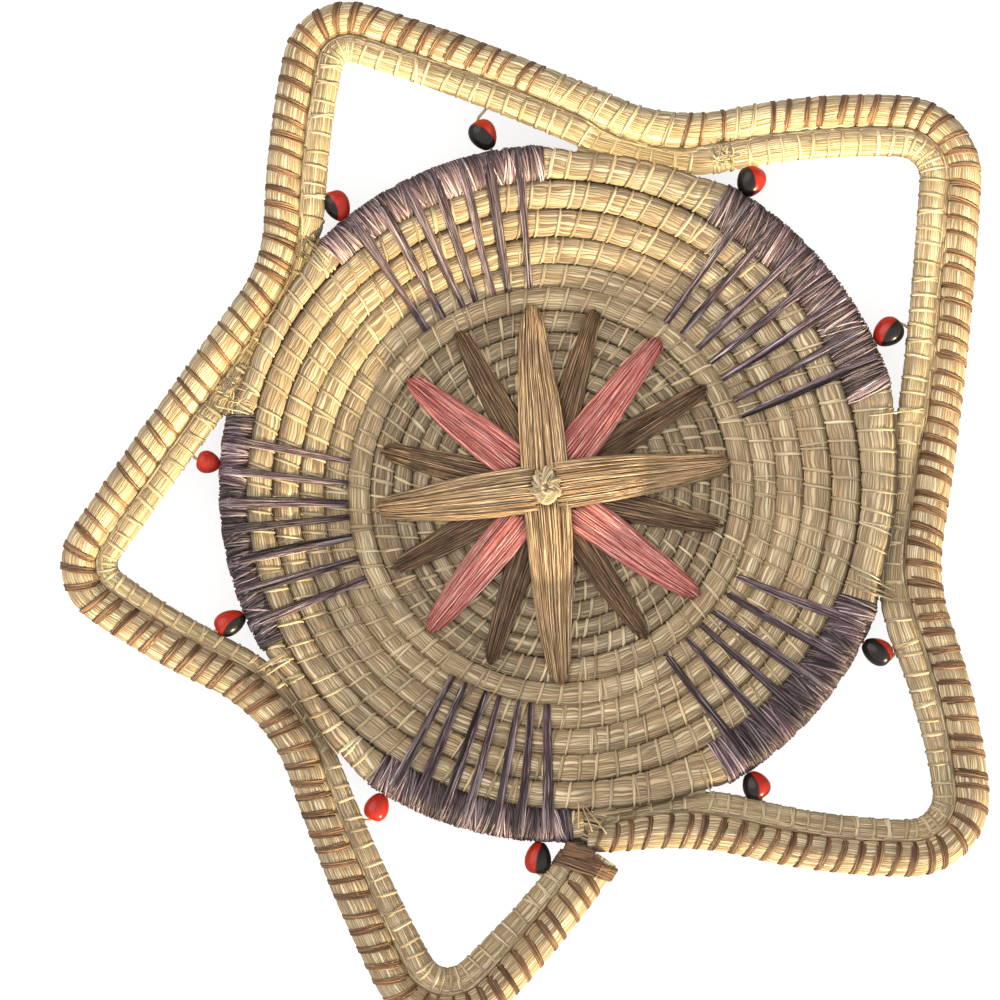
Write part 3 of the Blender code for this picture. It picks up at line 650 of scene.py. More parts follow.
def fibre_group() -> bpy.types.NodeTree:
    """Builds the node group that draws lengthwise straws from a piece's grain attribute.

    Returns:
        The group.
    """
    tree = bpy.data.node_groups.new("fibre_grain", "ShaderNodeTree")
    for name, default in (("Straw Width", 0.8), ("Straw Length", 30.0), ("Fineness", 0.25),
                          ("Odd Share", 0.2)):
        socket = tree.interface.new_socket(name, in_out="INPUT", socket_type="NodeSocketFloat")
        socket.default_value = default
    for name in ("Straw", "Gap", "Fine", "Odd", "Blotch", "Tint", "Depth", "Height"):
        tree.interface.new_socket(name, in_out="OUTPUT", socket_type="NodeSocketFloat")
    sketch = NodeSketch(tree)
    given = sketch.add("NodeGroupInput").outputs
    result = sketch.add("NodeGroupOutput")
    grain = sketch.add("ShaderNodeAttribute", attribute_name="grain")
    # This attribute is painted shade: it darkens the seams between coils and the undersides of strips.
    depth = sketch.add("ShaderNodeAttribute", attribute_name="depth")
    along, across, tint = sketch.add("ShaderNodeSeparateXYZ", {0: grain.outputs["Vector"]}).outputs
    millimetres = sketch.math("MULTIPLY", along, MILLIMETRES)
    wide = sketch.math("MULTIPLY", across, MILLIMETRES)

    def stretched(length: object, width: object, second: Socket) -> Socket:
        """Coordinates that are 1 a straw's length along and 1 its width across."""
        return sketch.add("ShaderNodeCombineXYZ", {0: sketch.math("DIVIDE", millimetres, length),
                                                   1: sketch.math("DIVIDE", second, width)}).outputs[0]

    drift = sketch.add("ShaderNodeTexNoise", {
        "Vector": stretched(8.0, 4.0, wide), "Scale": 1.0, "Detail": 1.0})
    wander = sketch.math("MULTIPLY_ADD", sketch.math("SUBTRACT", drift.outputs[0], 0.5), 1.5, wide)
    place = stretched(given["Straw Length"], given["Straw Width"], wander)
    straw = sketch.add("ShaderNodeTexVoronoi", {"Vector": place, "Scale": 1.0}, voronoi_dimensions="2D")
    own = sketch.add("ShaderNodeSeparateColor", {0: straw.outputs["Color"]}).outputs
    edge = sketch.add("ShaderNodeTexVoronoi", {"Vector": place, "Scale": 1.0}, voronoi_dimensions="2D",
                      feature="DISTANCE_TO_EDGE")
    gap = sketch.add("ShaderNodeMapRange", {0: edge.outputs["Distance"], 1: 0.0, 2: 0.26},
                     interpolation_type="SMOOTHSTEP").outputs[0]
    lines = stretched(sketch.math("MULTIPLY", given["Straw Length"], 0.5), given["Fineness"], wander)
    fine = sketch.add("ShaderNodeTexNoise", {"Vector": lines, "Scale": 1.0, "Detail": 3.0, "Roughness": 0.6})
    position = sketch.add("ShaderNodeTexCoord")
    blotch = sketch.add("ShaderNodeTexNoise", {
        "Vector": position.outputs["Object"], "Scale": 38.0, "Detail": 3.0})
    odd = sketch.math("GREATER_THAN", own[1], sketch.math("SUBTRACT", 1.0, given["Odd Share"]))
    height = sketch.math("ADD", sketch.math("MULTIPLY", gap, 0.6),
                         sketch.math("MULTIPLY", fine.outputs[0], 0.4))
    for name, socket in (("Straw", own[0]), ("Gap", gap), ("Fine", fine.outputs[0]), ("Odd", odd),
                         ("Blotch", blotch.outputs[0]), ("Tint", tint), ("Depth", depth.outputs["Fac"]),
                         ("Height", height)):
        tree.links.new(socket, result.inputs[name])
    return tree


@dataclass(frozen=True)
class FibreFinish:
    """A finish of many lengthwise fibres: grass or raffia."""

    name: str
    dark: tuple[float, float, float]
    middle: tuple[float, float, float]
    light: tuple[float, float, float]
    tinted: tuple[float, float, float]
    tinted_share: float
    straw_width: float
    straw_length: float
    fineness: float
    roughness: float
    bump: float
    # The seam colour darkens the gaps between straws, and is also the painted shade in seams and under
    # strips.
    seam: tuple[float, float, float] = (84.0, 62.0, 44.0)
    spread: float = 0.3
    gaps: float = 0.6

    def build(self, group: bpy.types.NodeTree) -> bpy.types.Material:
        """Makes the material.

        Args:
            group: The fibre group that all such finishes share.

        Returns:
            The material.
        """
        material, sketch, shader = new_material(self.name)
        out = sketch.add("ShaderNodeGroup", {
            "Straw Width": self.straw_width, "Straw Length": self.straw_length, "Fineness": self.fineness,
            "Odd Share": self.tinted_share}, node_tree=group).outputs
        shade = sketch.math("ADD", sketch.math("MULTIPLY", out["Straw"], 0.55),
                            sketch.math("MULTIPLY", out["Fine"], 0.90))
        shade = sketch.math("SUBTRACT", shade, 0.22)
        colour = sketch.ramp(shade, [(0.16, linear(self.dark)), (0.50, linear(self.middle)),
                                     (0.84, linear(self.light))])
        colour = sketch.mix(sketch.math("MULTIPLY", out["Odd"], 0.6), colour, linear(self.tinted))
        between = sketch.math("MULTIPLY", sketch.math("SUBTRACT", 1.0, out["Gap"]), self.gaps)
        colour = sketch.mix(between, colour, linear(self.seam))
        value = sketch.math("MULTIPLY_ADD", sketch.math("SUBTRACT", out["Tint"], 0.5), self.spread, 0.95)
        value = sketch.math("ADD", value, sketch.math(
            "MULTIPLY", sketch.math("SUBTRACT", out["Blotch"], 0.5), 0.4))
        scaled = sketch.add("ShaderNodeHueSaturation", {"Color": colour, "Value": value})
        # Painted shade: the seam colour is laid over seams and strip undersides.
        shadowed = sketch.mix(out["Depth"], scaled.outputs[0], linear(self.seam))
        rough = sketch.math("ADD", self.roughness, sketch.math("MULTIPLY", out["Fine"], 0.2))
        bump = sketch.add("ShaderNodeBump", {"Strength": 1.0, "Distance": self.bump, "Height": out["Height"]})
        sketch.feed(shader, {"Base Color": shadowed, "Roughness": rough, "Specular IOR Level": 0.35,
                             "Normal": bump.outputs[0]})
        return material


@dataclass(frozen=True)
class SeedFinish:
    """A glossy seed coat, red with a black patch where the patch attribute says so."""

    name: str = "seed_coat"
    red: tuple[float, float, float] = (192.0, 42.0, 18.0)
    deep_red: tuple[float, float, float] = (146.0, 30.0, 15.0)
    black: tuple[float, float, float] = (24.0, 18.0, 16.0)

    def build(self) -> bpy.types.Material:
        """Makes the material.

        Returns:
            The material.
        """
        material, sketch, shader = new_material(self.name)
        patch = sketch.add("ShaderNodeAttribute", attribute_name="patch")
        place = sketch.add("ShaderNodeTexCoord")
        cloud = sketch.add("ShaderNodeTexNoise", {
            "Vector": place.outputs["Object"], "Scale": 260.0, "Detail": 2.0})
        edge = sketch.math("ADD", patch.outputs["Fac"], sketch.math("MULTIPLY", cloud.outputs[0], 0.08))
        mask = sketch.add("ShaderNodeMapRange", {0: edge, 1: 0.50, 2: 0.56}).outputs[0]
        red = sketch.mix(cloud.outputs[0], linear(self.deep_red), linear(self.red))
        colour = sketch.mix(mask, red, linear(self.black))
        sketch.feed(shader, {"Base Color": colour, "Roughness": 0.28, "Specular IOR Level": 0.25,
                             "Coat Weight": 0.25, "Coat Roughness": 0.10})
        return material


class Finishes:
    """Every material of the basket."""

    def __init__(self) -> None:
        """Builds the finishes."""
        group = fibre_group()
        grass = dict(straw_width=0.72, straw_length=26.0, fineness=0.17, roughness=0.55,
                     bump=0.0004, gaps=0.55)
        raffia = dict(straw_width=0.5, straw_length=22.0, fineness=0.15, roughness=0.46, bump=0.0002)
        # The floor's grass is a darker copy of the wall's: the extra darkness is painted shade for the dish's
        # floor.
        self.floor_grass = FibreFinish(
            "floor_grass", (122, 103, 80), (170, 150, 121), (202, 185, 153), (146, 119, 86), 0.18,
            **grass).build(group)
        self.grass = FibreFinish(
            "coil_grass", (154, 130, 98), (206, 182, 144), (236, 217, 180), (182, 148, 106), 0.16,
            **grass).build(group)
        self.stitch_grass = FibreFinish(
            "stitch_grass", (168, 144, 108), (216, 194, 154), (240, 224, 188), (186, 156, 112), 0.15,
            spread=0.5, gaps=0.35, **raffia).build(group)
        self.border_grass = FibreFinish(
            "border_grass", (160, 134, 98), (210, 187, 148), (238, 220, 184), (188, 152, 108), 0.16,
            **grass).build(group)
        self.border_brown = FibreFinish(
            "border_brown_raffia", (84, 60, 42), (130, 96, 68), (176, 138, 102), (160, 118, 80), 0.2,
            seam=(62, 42, 30), spread=0.6, gaps=0.5, **raffia).build(group)
        self.purple = FibreFinish(
            "purple_raffia", (50, 33, 40), (104, 80, 86), (190, 170, 172), (204, 188, 190), 0.14,
            seam=(38, 25, 31), spread=1.5, gaps=0.5, **raffia).build(group)
        self.tan = FibreFinish(
            "tan_raffia", (138, 104, 72), (212, 174, 130), (250, 224, 182), (232, 198, 150), 0.15,
            seam=(92, 64, 42), spread=0.8, gaps=0.5, **raffia).build(group)
        self.pink = FibreFinish(
            "pink_raffia", (174, 82, 78), (240, 146, 134), (254, 202, 188), (246, 178, 168), 0.15,
            seam=(118, 46, 44), spread=0.8, gaps=0.5, **raffia).build(group)
        self.brown = FibreFinish(
            "brown_raffia", (86, 62, 46), (138, 107, 80), (186, 154, 122), (182, 150, 112), 0.12,
            seam=(48, 34, 25), spread=0.9, gaps=0.6, **raffia).build(group)
        self.seed = SeedFinish().build()


def dress(piece: bpy.types.Object, slot: Slot, *nodes: str) -> None:
    """Puts a finished piece on the basket.

    Args:
        piece: The piece, with its place in its mesh.
        slot: The record's slot that its finish comes from; not used.
        nodes: The solids that it stands for.
    """
    bpy.context.scene.collection.objects.link(piece)
    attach(piece, "root")
    if nodes:
        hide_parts(*nodes)
    LOG.info("%s: %d faces", piece.name, len(piece.data.polygons))


def write_points(mesh: bpy.types.Mesh, points: np.ndarray, grain: np.ndarray, depth: np.ndarray) -> None:
    """Sets a mesh's vertex places, its grain attribute and its painted shade attribute.

    Args:
        mesh: The mesh.
        points: The place of each vertex.
        grain: Its length along, across, and its tint.
        depth: How much painted shade each vertex gets, 0 to 1, in seams and on undersides.
    """
    mesh.vertices.foreach_set("co", points.astype(np.float32).ravel())
    vector = mesh.attributes.new("grain", "FLOAT_VECTOR", "POINT")
    vector.data.foreach_set("vector", grain.astype(np.float32).ravel())
    number = mesh.attributes.new("depth", "FLOAT", "POINT")
    number.data.foreach_set("value", depth.astype(np.float32).ravel())


def mesh_of(work: bmesh.types.BMesh, name: str) -> tuple[bpy.types.Mesh, np.ndarray]:
    """Ends the work on a mesh.

    Args:
        work: The work, which is freed.
        name: The mesh's name.

    Returns:
        The mesh and its vertex places, (vertices, 3).
    """
    mesh = bpy.data.meshes.new(name)
    work.to_mesh(mesh)
    work.free()
    flat = np.zeros(len(mesh.vertices) * 3, dtype=np.float32)
    mesh.vertices.foreach_get("co", flat)
    return mesh, flat.reshape(-1, 3)


def close_up(mesh: bpy.types.Mesh, material: bpy.types.Material) -> bpy.types.Object:
    """Turns faces outwards, shades them smoothly and makes the object.

    Args:
        mesh: The closed mesh.
        material: Its finish.

    Returns:
        The piece.
    """
    work = bmesh.new()
    work.from_mesh(mesh)
    bmesh.ops.recalc_face_normals(work, faces=work.faces)
    for face in work.faces:
        face.smooth = True
    work.to_mesh(mesh)
    work.free()
    mesh.materials.append(material)
    return bpy.data.objects.new(mesh.name, mesh)


def coil_piece(name: str, points: np.ndarray, grain: np.ndarray, depth: np.ndarray,
               material: bpy.types.Material) -> bpy.types.Object:
    """Makes one closed length of coil from rings of points.

    Args:
        name: The piece's name.
        points: The points, ring by ring, (rings, sides, 3).
        grain: The grain attribute of each point.
        depth: How much painted shade each point gets, 0 to 1, towards the seams.
        material: The finish.

    Returns:
        The piece.
    """
    rings, sides = points.shape[:2]
    work = bmesh.new()
    bmesh.ops.create_grid(work, x_segments=sides, y_segments=rings - 1, size=1.0)
    mesh, flat = mesh_of(work, name)
    side = np.rint((flat[:, 0] + 1.0) * 0.5 * sides).astype(int) % sides
    ring = np.rint((flat[:, 1] + 1.0) * 0.5 * (rings - 1)).astype(int)
    write_points(mesh, points[ring, side], grain[ring, side], depth[ring, side])
    work = bmesh.new()
    work.from_mesh(mesh)
    rim = [vert for vert in work.verts if vert.is_boundary]
    bmesh.ops.remove_doubles(work, verts=rim, dist=0.000001)
    bmesh.ops.holes_fill(work, edges=[edge for edge in work.edges if edge.is_boundary], sides=0)
    work.to_mesh(mesh)
    work.free()
    return close_up(mesh, material)


class StrandBatch:
    """Many strips of one make, each a closed flat tube along its own path, gathered into one piece."""

    def __init__(self, name: str, stations: int, sides: int = 5) -> None:
        """Starts an empty batch.

        Args:
            name: The piece's name.
            stations: How many points each path has.
            sides: How many sides a strip has.
        """
        self.name = name
        self.stations = stations
        self.sides = sides
        self.paths: list[np.ndarray] = []
        self.ups: list[np.ndarray] = []
        self.widths: list[np.ndarray] = []
        self.heights: list[np.ndarray] = []
        self.tints: list[float] = []

    def add(self, path: np.ndarray, up: np.ndarray, width: Numbers, height: Numbers, tint: float) -> None:
        """Adds a strip.

        Args:
            path: Its points, (stations, 3).
            up: The way its flat side faces, everywhere or at each of them.
            width: Its width at each.
            height: Its thickness at each.
            tint: A number from 0 to 1 that sets its own shade.
        """
        self.paths.append(path)
        self.ups.append(np.broadcast_to(up, (self.stations, 3)))
        self.widths.append(np.broadcast_to(width, (self.stations,)))
        self.heights.append(np.broadcast_to(height, (self.stations,)))
        self.tints.append(tint)

    def build(self, material: bpy.types.Material) -> bpy.types.Object:
        """Makes the piece.

        Args:
            material: Its finish.

        Returns:
            The piece.
        """
        work = bmesh.new()
        first = bmesh.ops.create_circle(work, cap_ends=True, radius=1.0, segments=self.sides)["verts"]
        face = first[0].link_faces[0]
        for _ in range(self.stations - 1):
            grown = bmesh.ops.extrude_face_region(work, geom=[face])["geom"]
            face = next(item for item in grown if isinstance(item, bmesh.types.BMFace))
            bmesh.ops.translate(work, vec=(0.0, 0.0, 1.0), verts=face.verts[:])
        stray = [item for item in work.faces if all(edge.is_manifold is False for edge in item.edges)]
        bmesh.ops.delete(work, geom=stray, context="FACES")
        template, flat = mesh_of(work, self.name + "_strip")
        station = np.rint(flat[:, 2]).astype(int)
        turn = np.arctan2(flat[:, 1], flat[:, 0])
        work = bmesh.new()
        for _ in self.paths:
            work.from_mesh(template)
        mesh, _ = mesh_of(work, self.name)
        bpy.data.meshes.remove(template)
        paths, ups = np.array(self.paths), np.array(self.ups)
        widths, heights = np.array(self.widths), np.array(self.heights)
        ahead = unit(np.gradient(paths, axis=1))
        across = unit(np.cross(ahead, ups))
        up = np.cross(across, ahead)
        steps = np.linalg.norm(np.diff(paths, axis=1), axis=-1)
        along = np.concatenate((np.zeros((len(paths), 1)), np.cumsum(steps, axis=1)), axis=1)
        cos, sin = np.cos(turn)[None, :, None], np.sin(turn)[None, :, None]
        points = (paths[:, station] + across[:, station] * cos * 0.5 * widths[:, station, None]
                  + up[:, station] * sin * 0.5 * heights[:, station, None])
        tints = np.array(self.tints)
        grain = np.empty_like(points)
        grain[..., 0] = along[:, station] + tints[:, None] * 13.7
        grain[..., 1] = 0.5 * widths[:, station] * cos[..., 0] + tints[:, None] * 3.7
        grain[..., 2] = tints[:, None]
        # Painted shade: the underside of every strip is darkened.
        depth = np.where(sin[..., 0] < -0.3, 0.6, 0.0) * np.ones(points.shape[:2])
        write_points(mesh, points.reshape(-1, 3), grain.reshape(-1, 3), depth.ravel())
        return close_up(mesh, material)


@dataclass(frozen=True)
class GrassBundle:
    """How the grass of a coil swells between stitches and shows its straws."""

    sides: int
    step: float
    relief: float
    pinch: float
    pinch_width: float
    row_length: float = 0.009

    def cells(self, along: np.ndarray, across: np.ndarray, stitches: np.ndarray,
              slant: float) -> tuple[np.ndarray, np.ndarray, np.ndarray]:
        """Finds the stretch between two stitches that each point of a coil is in.

        Args:
            along: The length along the coil at each ring.
            across: Where across the coil each side is, from -1 to 1, in the direction of the slant.
            stitches: Where the stitches are along the coil.
            slant: How far a stitch moves along the coil from side to side of it.

        Returns:
            The stretch's number, and how far the stitches before and after it are, each (rings, sides).
        """
        spot = along[:, None] - 0.5 * slant * across[None, :]
        after = np.searchsorted(stitches, spot).clip(1, len(stitches) - 1)
        return after, spot - stitches[after - 1], stitches[after] - spot

    def offsets(self, along: np.ndarray, before: np.ndarray, after: np.ndarray,
                random: np.random.Generator) -> np.ndarray:
        """How far each point of a coil stands out of its plain round form.

        Args:
            along: The length along the coil at each ring.
            before: How far each point is from the stitch before it.
            after: How far each point is from the stitch after it.
            random: The source of random numbers.

        Returns:
            The offsets, (rings, sides).
        """
        rows = int((along[-1] - along[0]) / self.row_length) + 3
        lattice = random.normal(0.0, 1.0, (rows, before.shape[1]))
        lattice = 0.65 * lattice + 0.35 * lattice[np.minimum(np.arange(rows) + 1, rows - 1)]
        place = (along - along[0]) / self.row_length
        low = place.astype(int)
        share = smooth(place - low)[:, None]
        straws = lattice[low] * (1.0 - share) + lattice[low + 1] * share
        nearest = np.minimum(np.abs(before), np.abs(after))
        pinched = np.exp(-(nearest / self.pinch_width) ** 2)
        share = np.clip(before / np.maximum(before + after, 1e-6), 0.0, 1.0)
        swell = np.sin(math.pi * share) ** 0.7
        return self.relief * straws * (1.0 - 0.6 * pinched) + self.pinch * (0.45 * swell - pinched)


def spaced(length: float, spacing: float, jitter: float, random: np.random.Generator) -> np.ndarray:
    """Finds places along a length, with some unevenness.

    Args:
        length: The length.
        spacing: The mean distance between places.
        jitter: How far a place may stray, as a share of the spacing.
        random: The source of random numbers.

    Returns:
        The places, in order.
    """
    count = int(length / spacing)
    places = (np.arange(count) + 0.5) * length / count
    return np.sort(places + random.uniform(-jitter, jitter, count) * spacing)


class Maker:
    """A maker of pieces, with the basket's finishes and random numbers of its own."""

    seed = 0

    def __init__(self, finishes: Finishes) -> None:
        """Keeps the finishes and starts the random numbers."""
        self.finishes = finishes
        self.random = np.random.default_rng(self.seed)


class CoiledDish(Maker):
    """The dish: its grass coil, in the floor and up the wall, and the stitches that sew the rounds."""

    seed = 11
    first_turn = 0.02
    floor_spacing = 0.0049
    wall_spacing = 0.0067
    slant_share = -0.27
    doubled_share = 0.13
    floor = GrassBundle(sides=22, step=0.00105, relief=0.00013, pinch=0.00030, pinch_width=0.0007)
    wall = GrassBundle(sides=30, step=0.00125, relief=0.00017, pinch=0.00042, pinch_width=0.0008)

    def lay(self, name: str, bundle: GrassBundle, first: float, last: float, spacing: float,
            material: bpy.types.Material) -> None:
        """Lays one stretch of the coil with its stitches.

        Args:
            name: The stretch's name.
            bundle: How its grass looks.
            first: Where it starts, in turns.
            last: Where it ends, in turns.
            spacing: The distance between stitches.
            material: The grass finish.
        """
        turns, along = DISH.evenly(first, last, bundle.step)
        stitches = spaced(along[-1], spacing, STITCH_JITTER, self.random)
        around = np.arange(bundle.sides) * 360.0 / bundle.sides
        across = np.cos(np.radians(around))
        slant = self.slant_share * DISH.wall_pitch
        cell, before, after = bundle.cells(along, across, stitches, slant)
        offsets = bundle.offsets(along, before, after, self.random)
        points, _ = DISH.coil_point(turns[:, None], around[None, :], offsets)
        grain = np.empty_like(points)
        grain[..., 0] = along[:, None]
        pitch = DISH.outer_radius(turns) - DISH.seam_radius(turns)
        grain[..., 1] = np.radians(around)[None, :] * 0.5 * pitch[:, None]
        grain[..., 2] = self.random.uniform(0.2, 0.8, len(stitches) + 1)[cell]
        # Painted shade: each round darkens towards the seams on either side of it.
        depth = np.broadcast_to(smooth((np.abs(across) - 0.80) / 0.2)[None, :] * 0.75, points.shape[:2])
        piece = coil_piece(name + "_coil", points, grain, depth, material)
        dress(piece, Slot.GRASS, "coiled_dish")
        batch = StrandBatch(name + "_stitches", 15)
        over = np.concatenate((np.linspace(172.0, 8.0, 9), np.linspace(-20.0, -160.0, 6)))
        for place in stitches:
            self.stitch(batch, np.interp(place, along, turns), over, slant, spacing)
        dress(batch.build(self.finishes.stitch_grass), Slot.GRASS)

    def stitch(self, batch: StrandBatch, turns: float, over: np.ndarray, slant: float,
               spacing: float) -> None:
        """Adds one stitch, which goes over the coil and back under it.

        Args:
            batch: The batch it joins.
            turns: Where it is along the coil.
            over: The angles round the coil that it passes.
            slant: How far it moves along the coil on the way over.
            spacing: How far it moves along the coil on the whole way round.
        """
        draw = self.random.uniform
        radius = float(0.5 * (DISH.seam_radius(turns) + DISH.outer_radius(turns)))
        lean = slant * draw(0.7, 1.35)
        shift = np.where(over > 0.0, lean * np.cos(np.radians(over)) * 0.5, 0.0)
        under = np.clip((-over) / 180.0, 0.0, 1.0)
        shift = np.where(over > 0.0, shift, 0.5 * lean + (-spacing - lean) * under)
        width = draw(0.0010, 0.0015)
        taper = np.sin(np.radians(np.clip(np.abs(over), 20.0, 160.0))) ** 0.5
        path, up = DISH.coil_point(turns + shift / (TURN * radius), over, 0.00005)
        batch.add(path, up, width * taper, 0.00062, draw())
        if draw() < self.doubled_share:
            extra = draw(0.0010, 0.0016)
            path, up = DISH.coil_point(turns + (shift * 0.3 + extra) / (TURN * radius), over, 0.0001)
            batch.add(path, up, 0.8 * width * taper, 0.0005, draw())

    def build(self) -> None:
        """Builds the floor and the wall."""
        self.lay("floor", self.floor, self.first_turn, DISH.floor_rounds, self.floor_spacing,
                 self.finishes.floor_grass)
        self.lay("wall", self.wall, DISH.floor_rounds, DISH.rounds, self.wall_spacing, self.finishes.grass)


class StarBorder(Maker):
    """The border: an outer coil under brown stitches, an inner one under pale ones, bound at their ends."""

    seed = 23
    brown_spacing = 0.0058
    pale_spacing = 0.0056
    brown_slant = -0.0030
    pale_slant = -0.0006
    pale_jitter = 0.18
    seam_swell = 0.00052
    # How dark the painted shade is in the seam between the two coils.
    seam_painted_shade = 0.4
    natural_deg = (62.0, 94.0)
    sparse_deg = (150.0, 186.0)
    sparse_start = 0.035
    bundle = GrassBundle(sides=28, step=0.0013, relief=0.00016, pinch=0.00040, pinch_width=0.0009)
    thin = GrassBundle(sides=22, step=0.0013, relief=0.00013, pinch=0.00030, pinch_width=0.0008)

    def surface(self, line: Line, along: np.ndarray, around: np.ndarray,
                lift: Numbers) -> tuple[np.ndarray, np.ndarray]:
        """Points on a coil of the border and the way out of it there.

        Args:
            line: The coil's line.
            along: The length along it.
            around: The angle round it in degrees: 0 faces out of the star, 90 up, 180 in.
            lift: How far out of the surface.

        Returns:
            The points and the unit normals.
        """
        along, around, lift = np.broadcast_arrays(along, around, lift)
        centre = at_lengths(along, line["along"], line["points"])
        radius = np.interp(along, line["along"], line["radius"])
        out = heading(np.interp(along, line["along"], line["course"]) - 90.0)
        angle = np.radians(around)
        normal = np.stack((out[..., 0] * np.cos(angle), out[..., 1] * np.cos(angle), np.sin(angle)), axis=-1)
        return centre + normal * (radius + lift)[..., None], normal

    def lay(self, name: str, node: str, line: Line, bundle: GrassBundle, stitches: np.ndarray,
            slant: float, toward: np.ndarray) -> None:
        """Lays one coil of the border.

        Args:
            name: The piece's name.
            node: The solid that it stands for.
            line: The coil's line.
            bundle: How its grass looks.
            stitches: Where its stitches are along the line.
            slant: How far a stitch moves along the coil from side to side of it.
            toward: The angle round the coil at which the other coil lies, at each point of the line.
        """
        start, end = line["along"][0], line["along"][-1]
        along = np.linspace(start, end, int((end - start) / bundle.step))
        around = np.arange(bundle.sides) * 360.0 / bundle.sides
        across = np.cos(np.radians(around))
        cell, before, after = bundle.cells(along, across, stitches, slant)
        offsets = bundle.offsets(along, before, after, self.random)
        facing = np.cos(np.radians(around[None, :] - np.interp(along, line["along"], toward)[:, None]))
        offsets = offsets + self.seam_swell * np.clip(facing, 0.0, 1.0) ** 2
        points, _ = self.surface(line, along[:, None], around[None, :], offsets)
        grain = np.empty_like(points)
        grain[..., 0] = along[:, None]
        grain[..., 1] = np.radians(around)[None, :] * 0.005
        grain[..., 2] = self.random.uniform(0.2, 0.8, len(stitches) + 1)[cell]
        # Painted shade where this coil faces the other one, in the seam between them.
        depth = smooth((facing - 0.88) / 0.12) * self.seam_painted_shade
        dress(coil_piece(name, points, grain, depth, self.finishes.border_grass), Slot.BORDER, node)

    def outer_stitches(self, line: Line, places: np.ndarray) -> None:
        """Adds the outer coil's broad brown stitches, and natural ones in the upper valley.

        Args:
            line: The coil's line.
            places: Where they are along it.
        """
        draw = self.random.uniform
        brown = StrandBatch("border_brown_stitches", 17)
        natural = StrandBatch("border_natural_stitches", 17)
        spots = line["points"][np.searchsorted(line["along"], places).clip(0, len(line["along"]) - 1)] - AXIS
        last = line["along"][-1] - 0.001
        for place, angle in zip(places, bearing(spots) % 360.0):
            in_valley = self.natural_deg[0] < angle < self.natural_deg[1]
            thin = self.sparse_deg[0] < angle < self.sparse_deg[1] or place < self.sparse_start
            batch = natural if in_valley and draw() < 0.75 else brown
            count = 2 if in_valley or thin else int(self.random.integers(3, 5))
            fan = draw(0.5, 1.1)
            lean = self.brown_slant * draw(0.6, 1.35)
            for k in range(count):
                over = np.linspace(180.0, -168.0, 17) + draw(-5.0, 5.0)
                beside = (k - 0.5 * (count - 1)) * 0.00062
                spread = beside * (1.0 - fan * 0.35 * np.cos(np.radians(over)))
                bow = 0.0005 * np.sin(np.radians(over)) * draw(0.3, 1.0)
                shift = 0.5 * lean * np.cos(np.radians(over)) + spread + bow
                where = np.clip(place + shift, 0.001, last)
                path, up = self.surface(line, where, over, 0.00012 + draw(0.0, 0.00015))
                batch.add(path, up, draw(0.0007, 0.0010), 0.0005, draw())
        dress(brown.build(self.finishes.border_brown), Slot.BROWN)
        dress(natural.build(self.finishes.stitch_grass), Slot.GRASS)

    def inner_stitches(self, line: Line, places: np.ndarray) -> None:
        """Adds the inner coil's pale stitches, some of them in pairs that spread as a V.

        Args:
            line: The coil's line.
            places: Where they are along it.
        """
        draw = self.random.uniform
        batch = StrandBatch("border_pale_stitches", 15)
        for place in places:
            pair = draw() < 0.25
            lean = draw(-0.0016, 0.0006)
            for k in range(2 if pair else 1):
                over = np.linspace(178.0, -170.0, 15)
                open_v = 0.0013 * k * np.cos(np.radians(over))
                shift = 0.5 * lean * np.cos(np.radians(over)) + open_v
                path, up = self.surface(line, place + shift, over, 0.00012)
                batch.add(path, up, draw(0.0009, 0.0014), 0.0005, draw())
        dress(batch.build(self.finishes.stitch_grass), Slot.GRASS)

    def seam(self, line: Line) -> None:
        """Lays the straws along the seam between the two coils.

        Args:
            line: The inner coil's line.
        """
        draw = self.random.uniform
        batch = StrandBatch("border_seam_straws", 9)
        for place in np.arange(line["along"][0] + 0.001, line["along"][-1] - 0.012, 0.0050):
            window = place + np.linspace(0.0, draw(0.0080, 0.0105), 9)
            toward = np.interp(window, line["along"], line["sink"])
            for raised, width in ((24.0, 0.0019), (33.0, 0.0012)):
                over = toward + raised + draw(-2.0, 2.0)
                path, _ = self.surface(line, window, over, 0.0004)
                batch.add(path, UPWARD, width, 0.0009, draw(0.0, 0.6))
        dress(batch.build(self.finishes.border_grass), Slot.BORDER)

    def binding(self, line: Line) -> None:
        """Adds the brown raffia over both coils' ends, further on round the outer one.

        Args:
            line: The outer coil's line.
        """
        draw = self.random.uniform
        batch = StrandBatch("end_binding_raffia", 25)
        apart = float(BORDER.outer_radius + BORDER.end_inner_radius + BORDER.coil_gap)
        far_side = apart + BORDER.end_inner_radius
        course = float(line["course"][-1])
        inward = np.append(heading(course + 90.0), 0.0)
        ahead = np.append(heading(course), 0.0)
        angle = np.radians(np.linspace(0.0, 372.0, 25) + 90.0)
        on_inner = apart * np.cos(angle) + BORDER.end_inner_radius > BORDER.outer_radius
        for k in range(26):
            setback = BORDER.binding_setback + BORDER.binding_width * k / 25.0 + draw(-0.0003, 0.0003)
            radius = np.where(on_inner, BORDER.end_inner_radius,
                              BORDER.outer_radius) + 0.00045 + 0.0003 * (k % 3)
            side = radius * np.cos(angle) + np.where(on_inner, apart, 0.0)
            lead = BORDER.binding_lead * (far_side - side) / (far_side + BORDER.outer_radius)
            path = line["points"][-1] - ahead * (setback - lead)[:, None] + inward * side[:, None]
            path = path + ahead * (draw(-0.0009, 0.0009) * np.cos(angle))[:, None]
            path[:, 2] = BORDER.height + radius * np.sin(angle)
            up = inward * np.cos(angle)[:, None]
            up[:, 2] = np.sin(angle)
            batch.add(path, up, draw(0.0008, 0.0012), 0.0004, draw(0.0, 0.8))
        share = np.linspace(0.0, 1.0, 25)
        for _ in range(16):
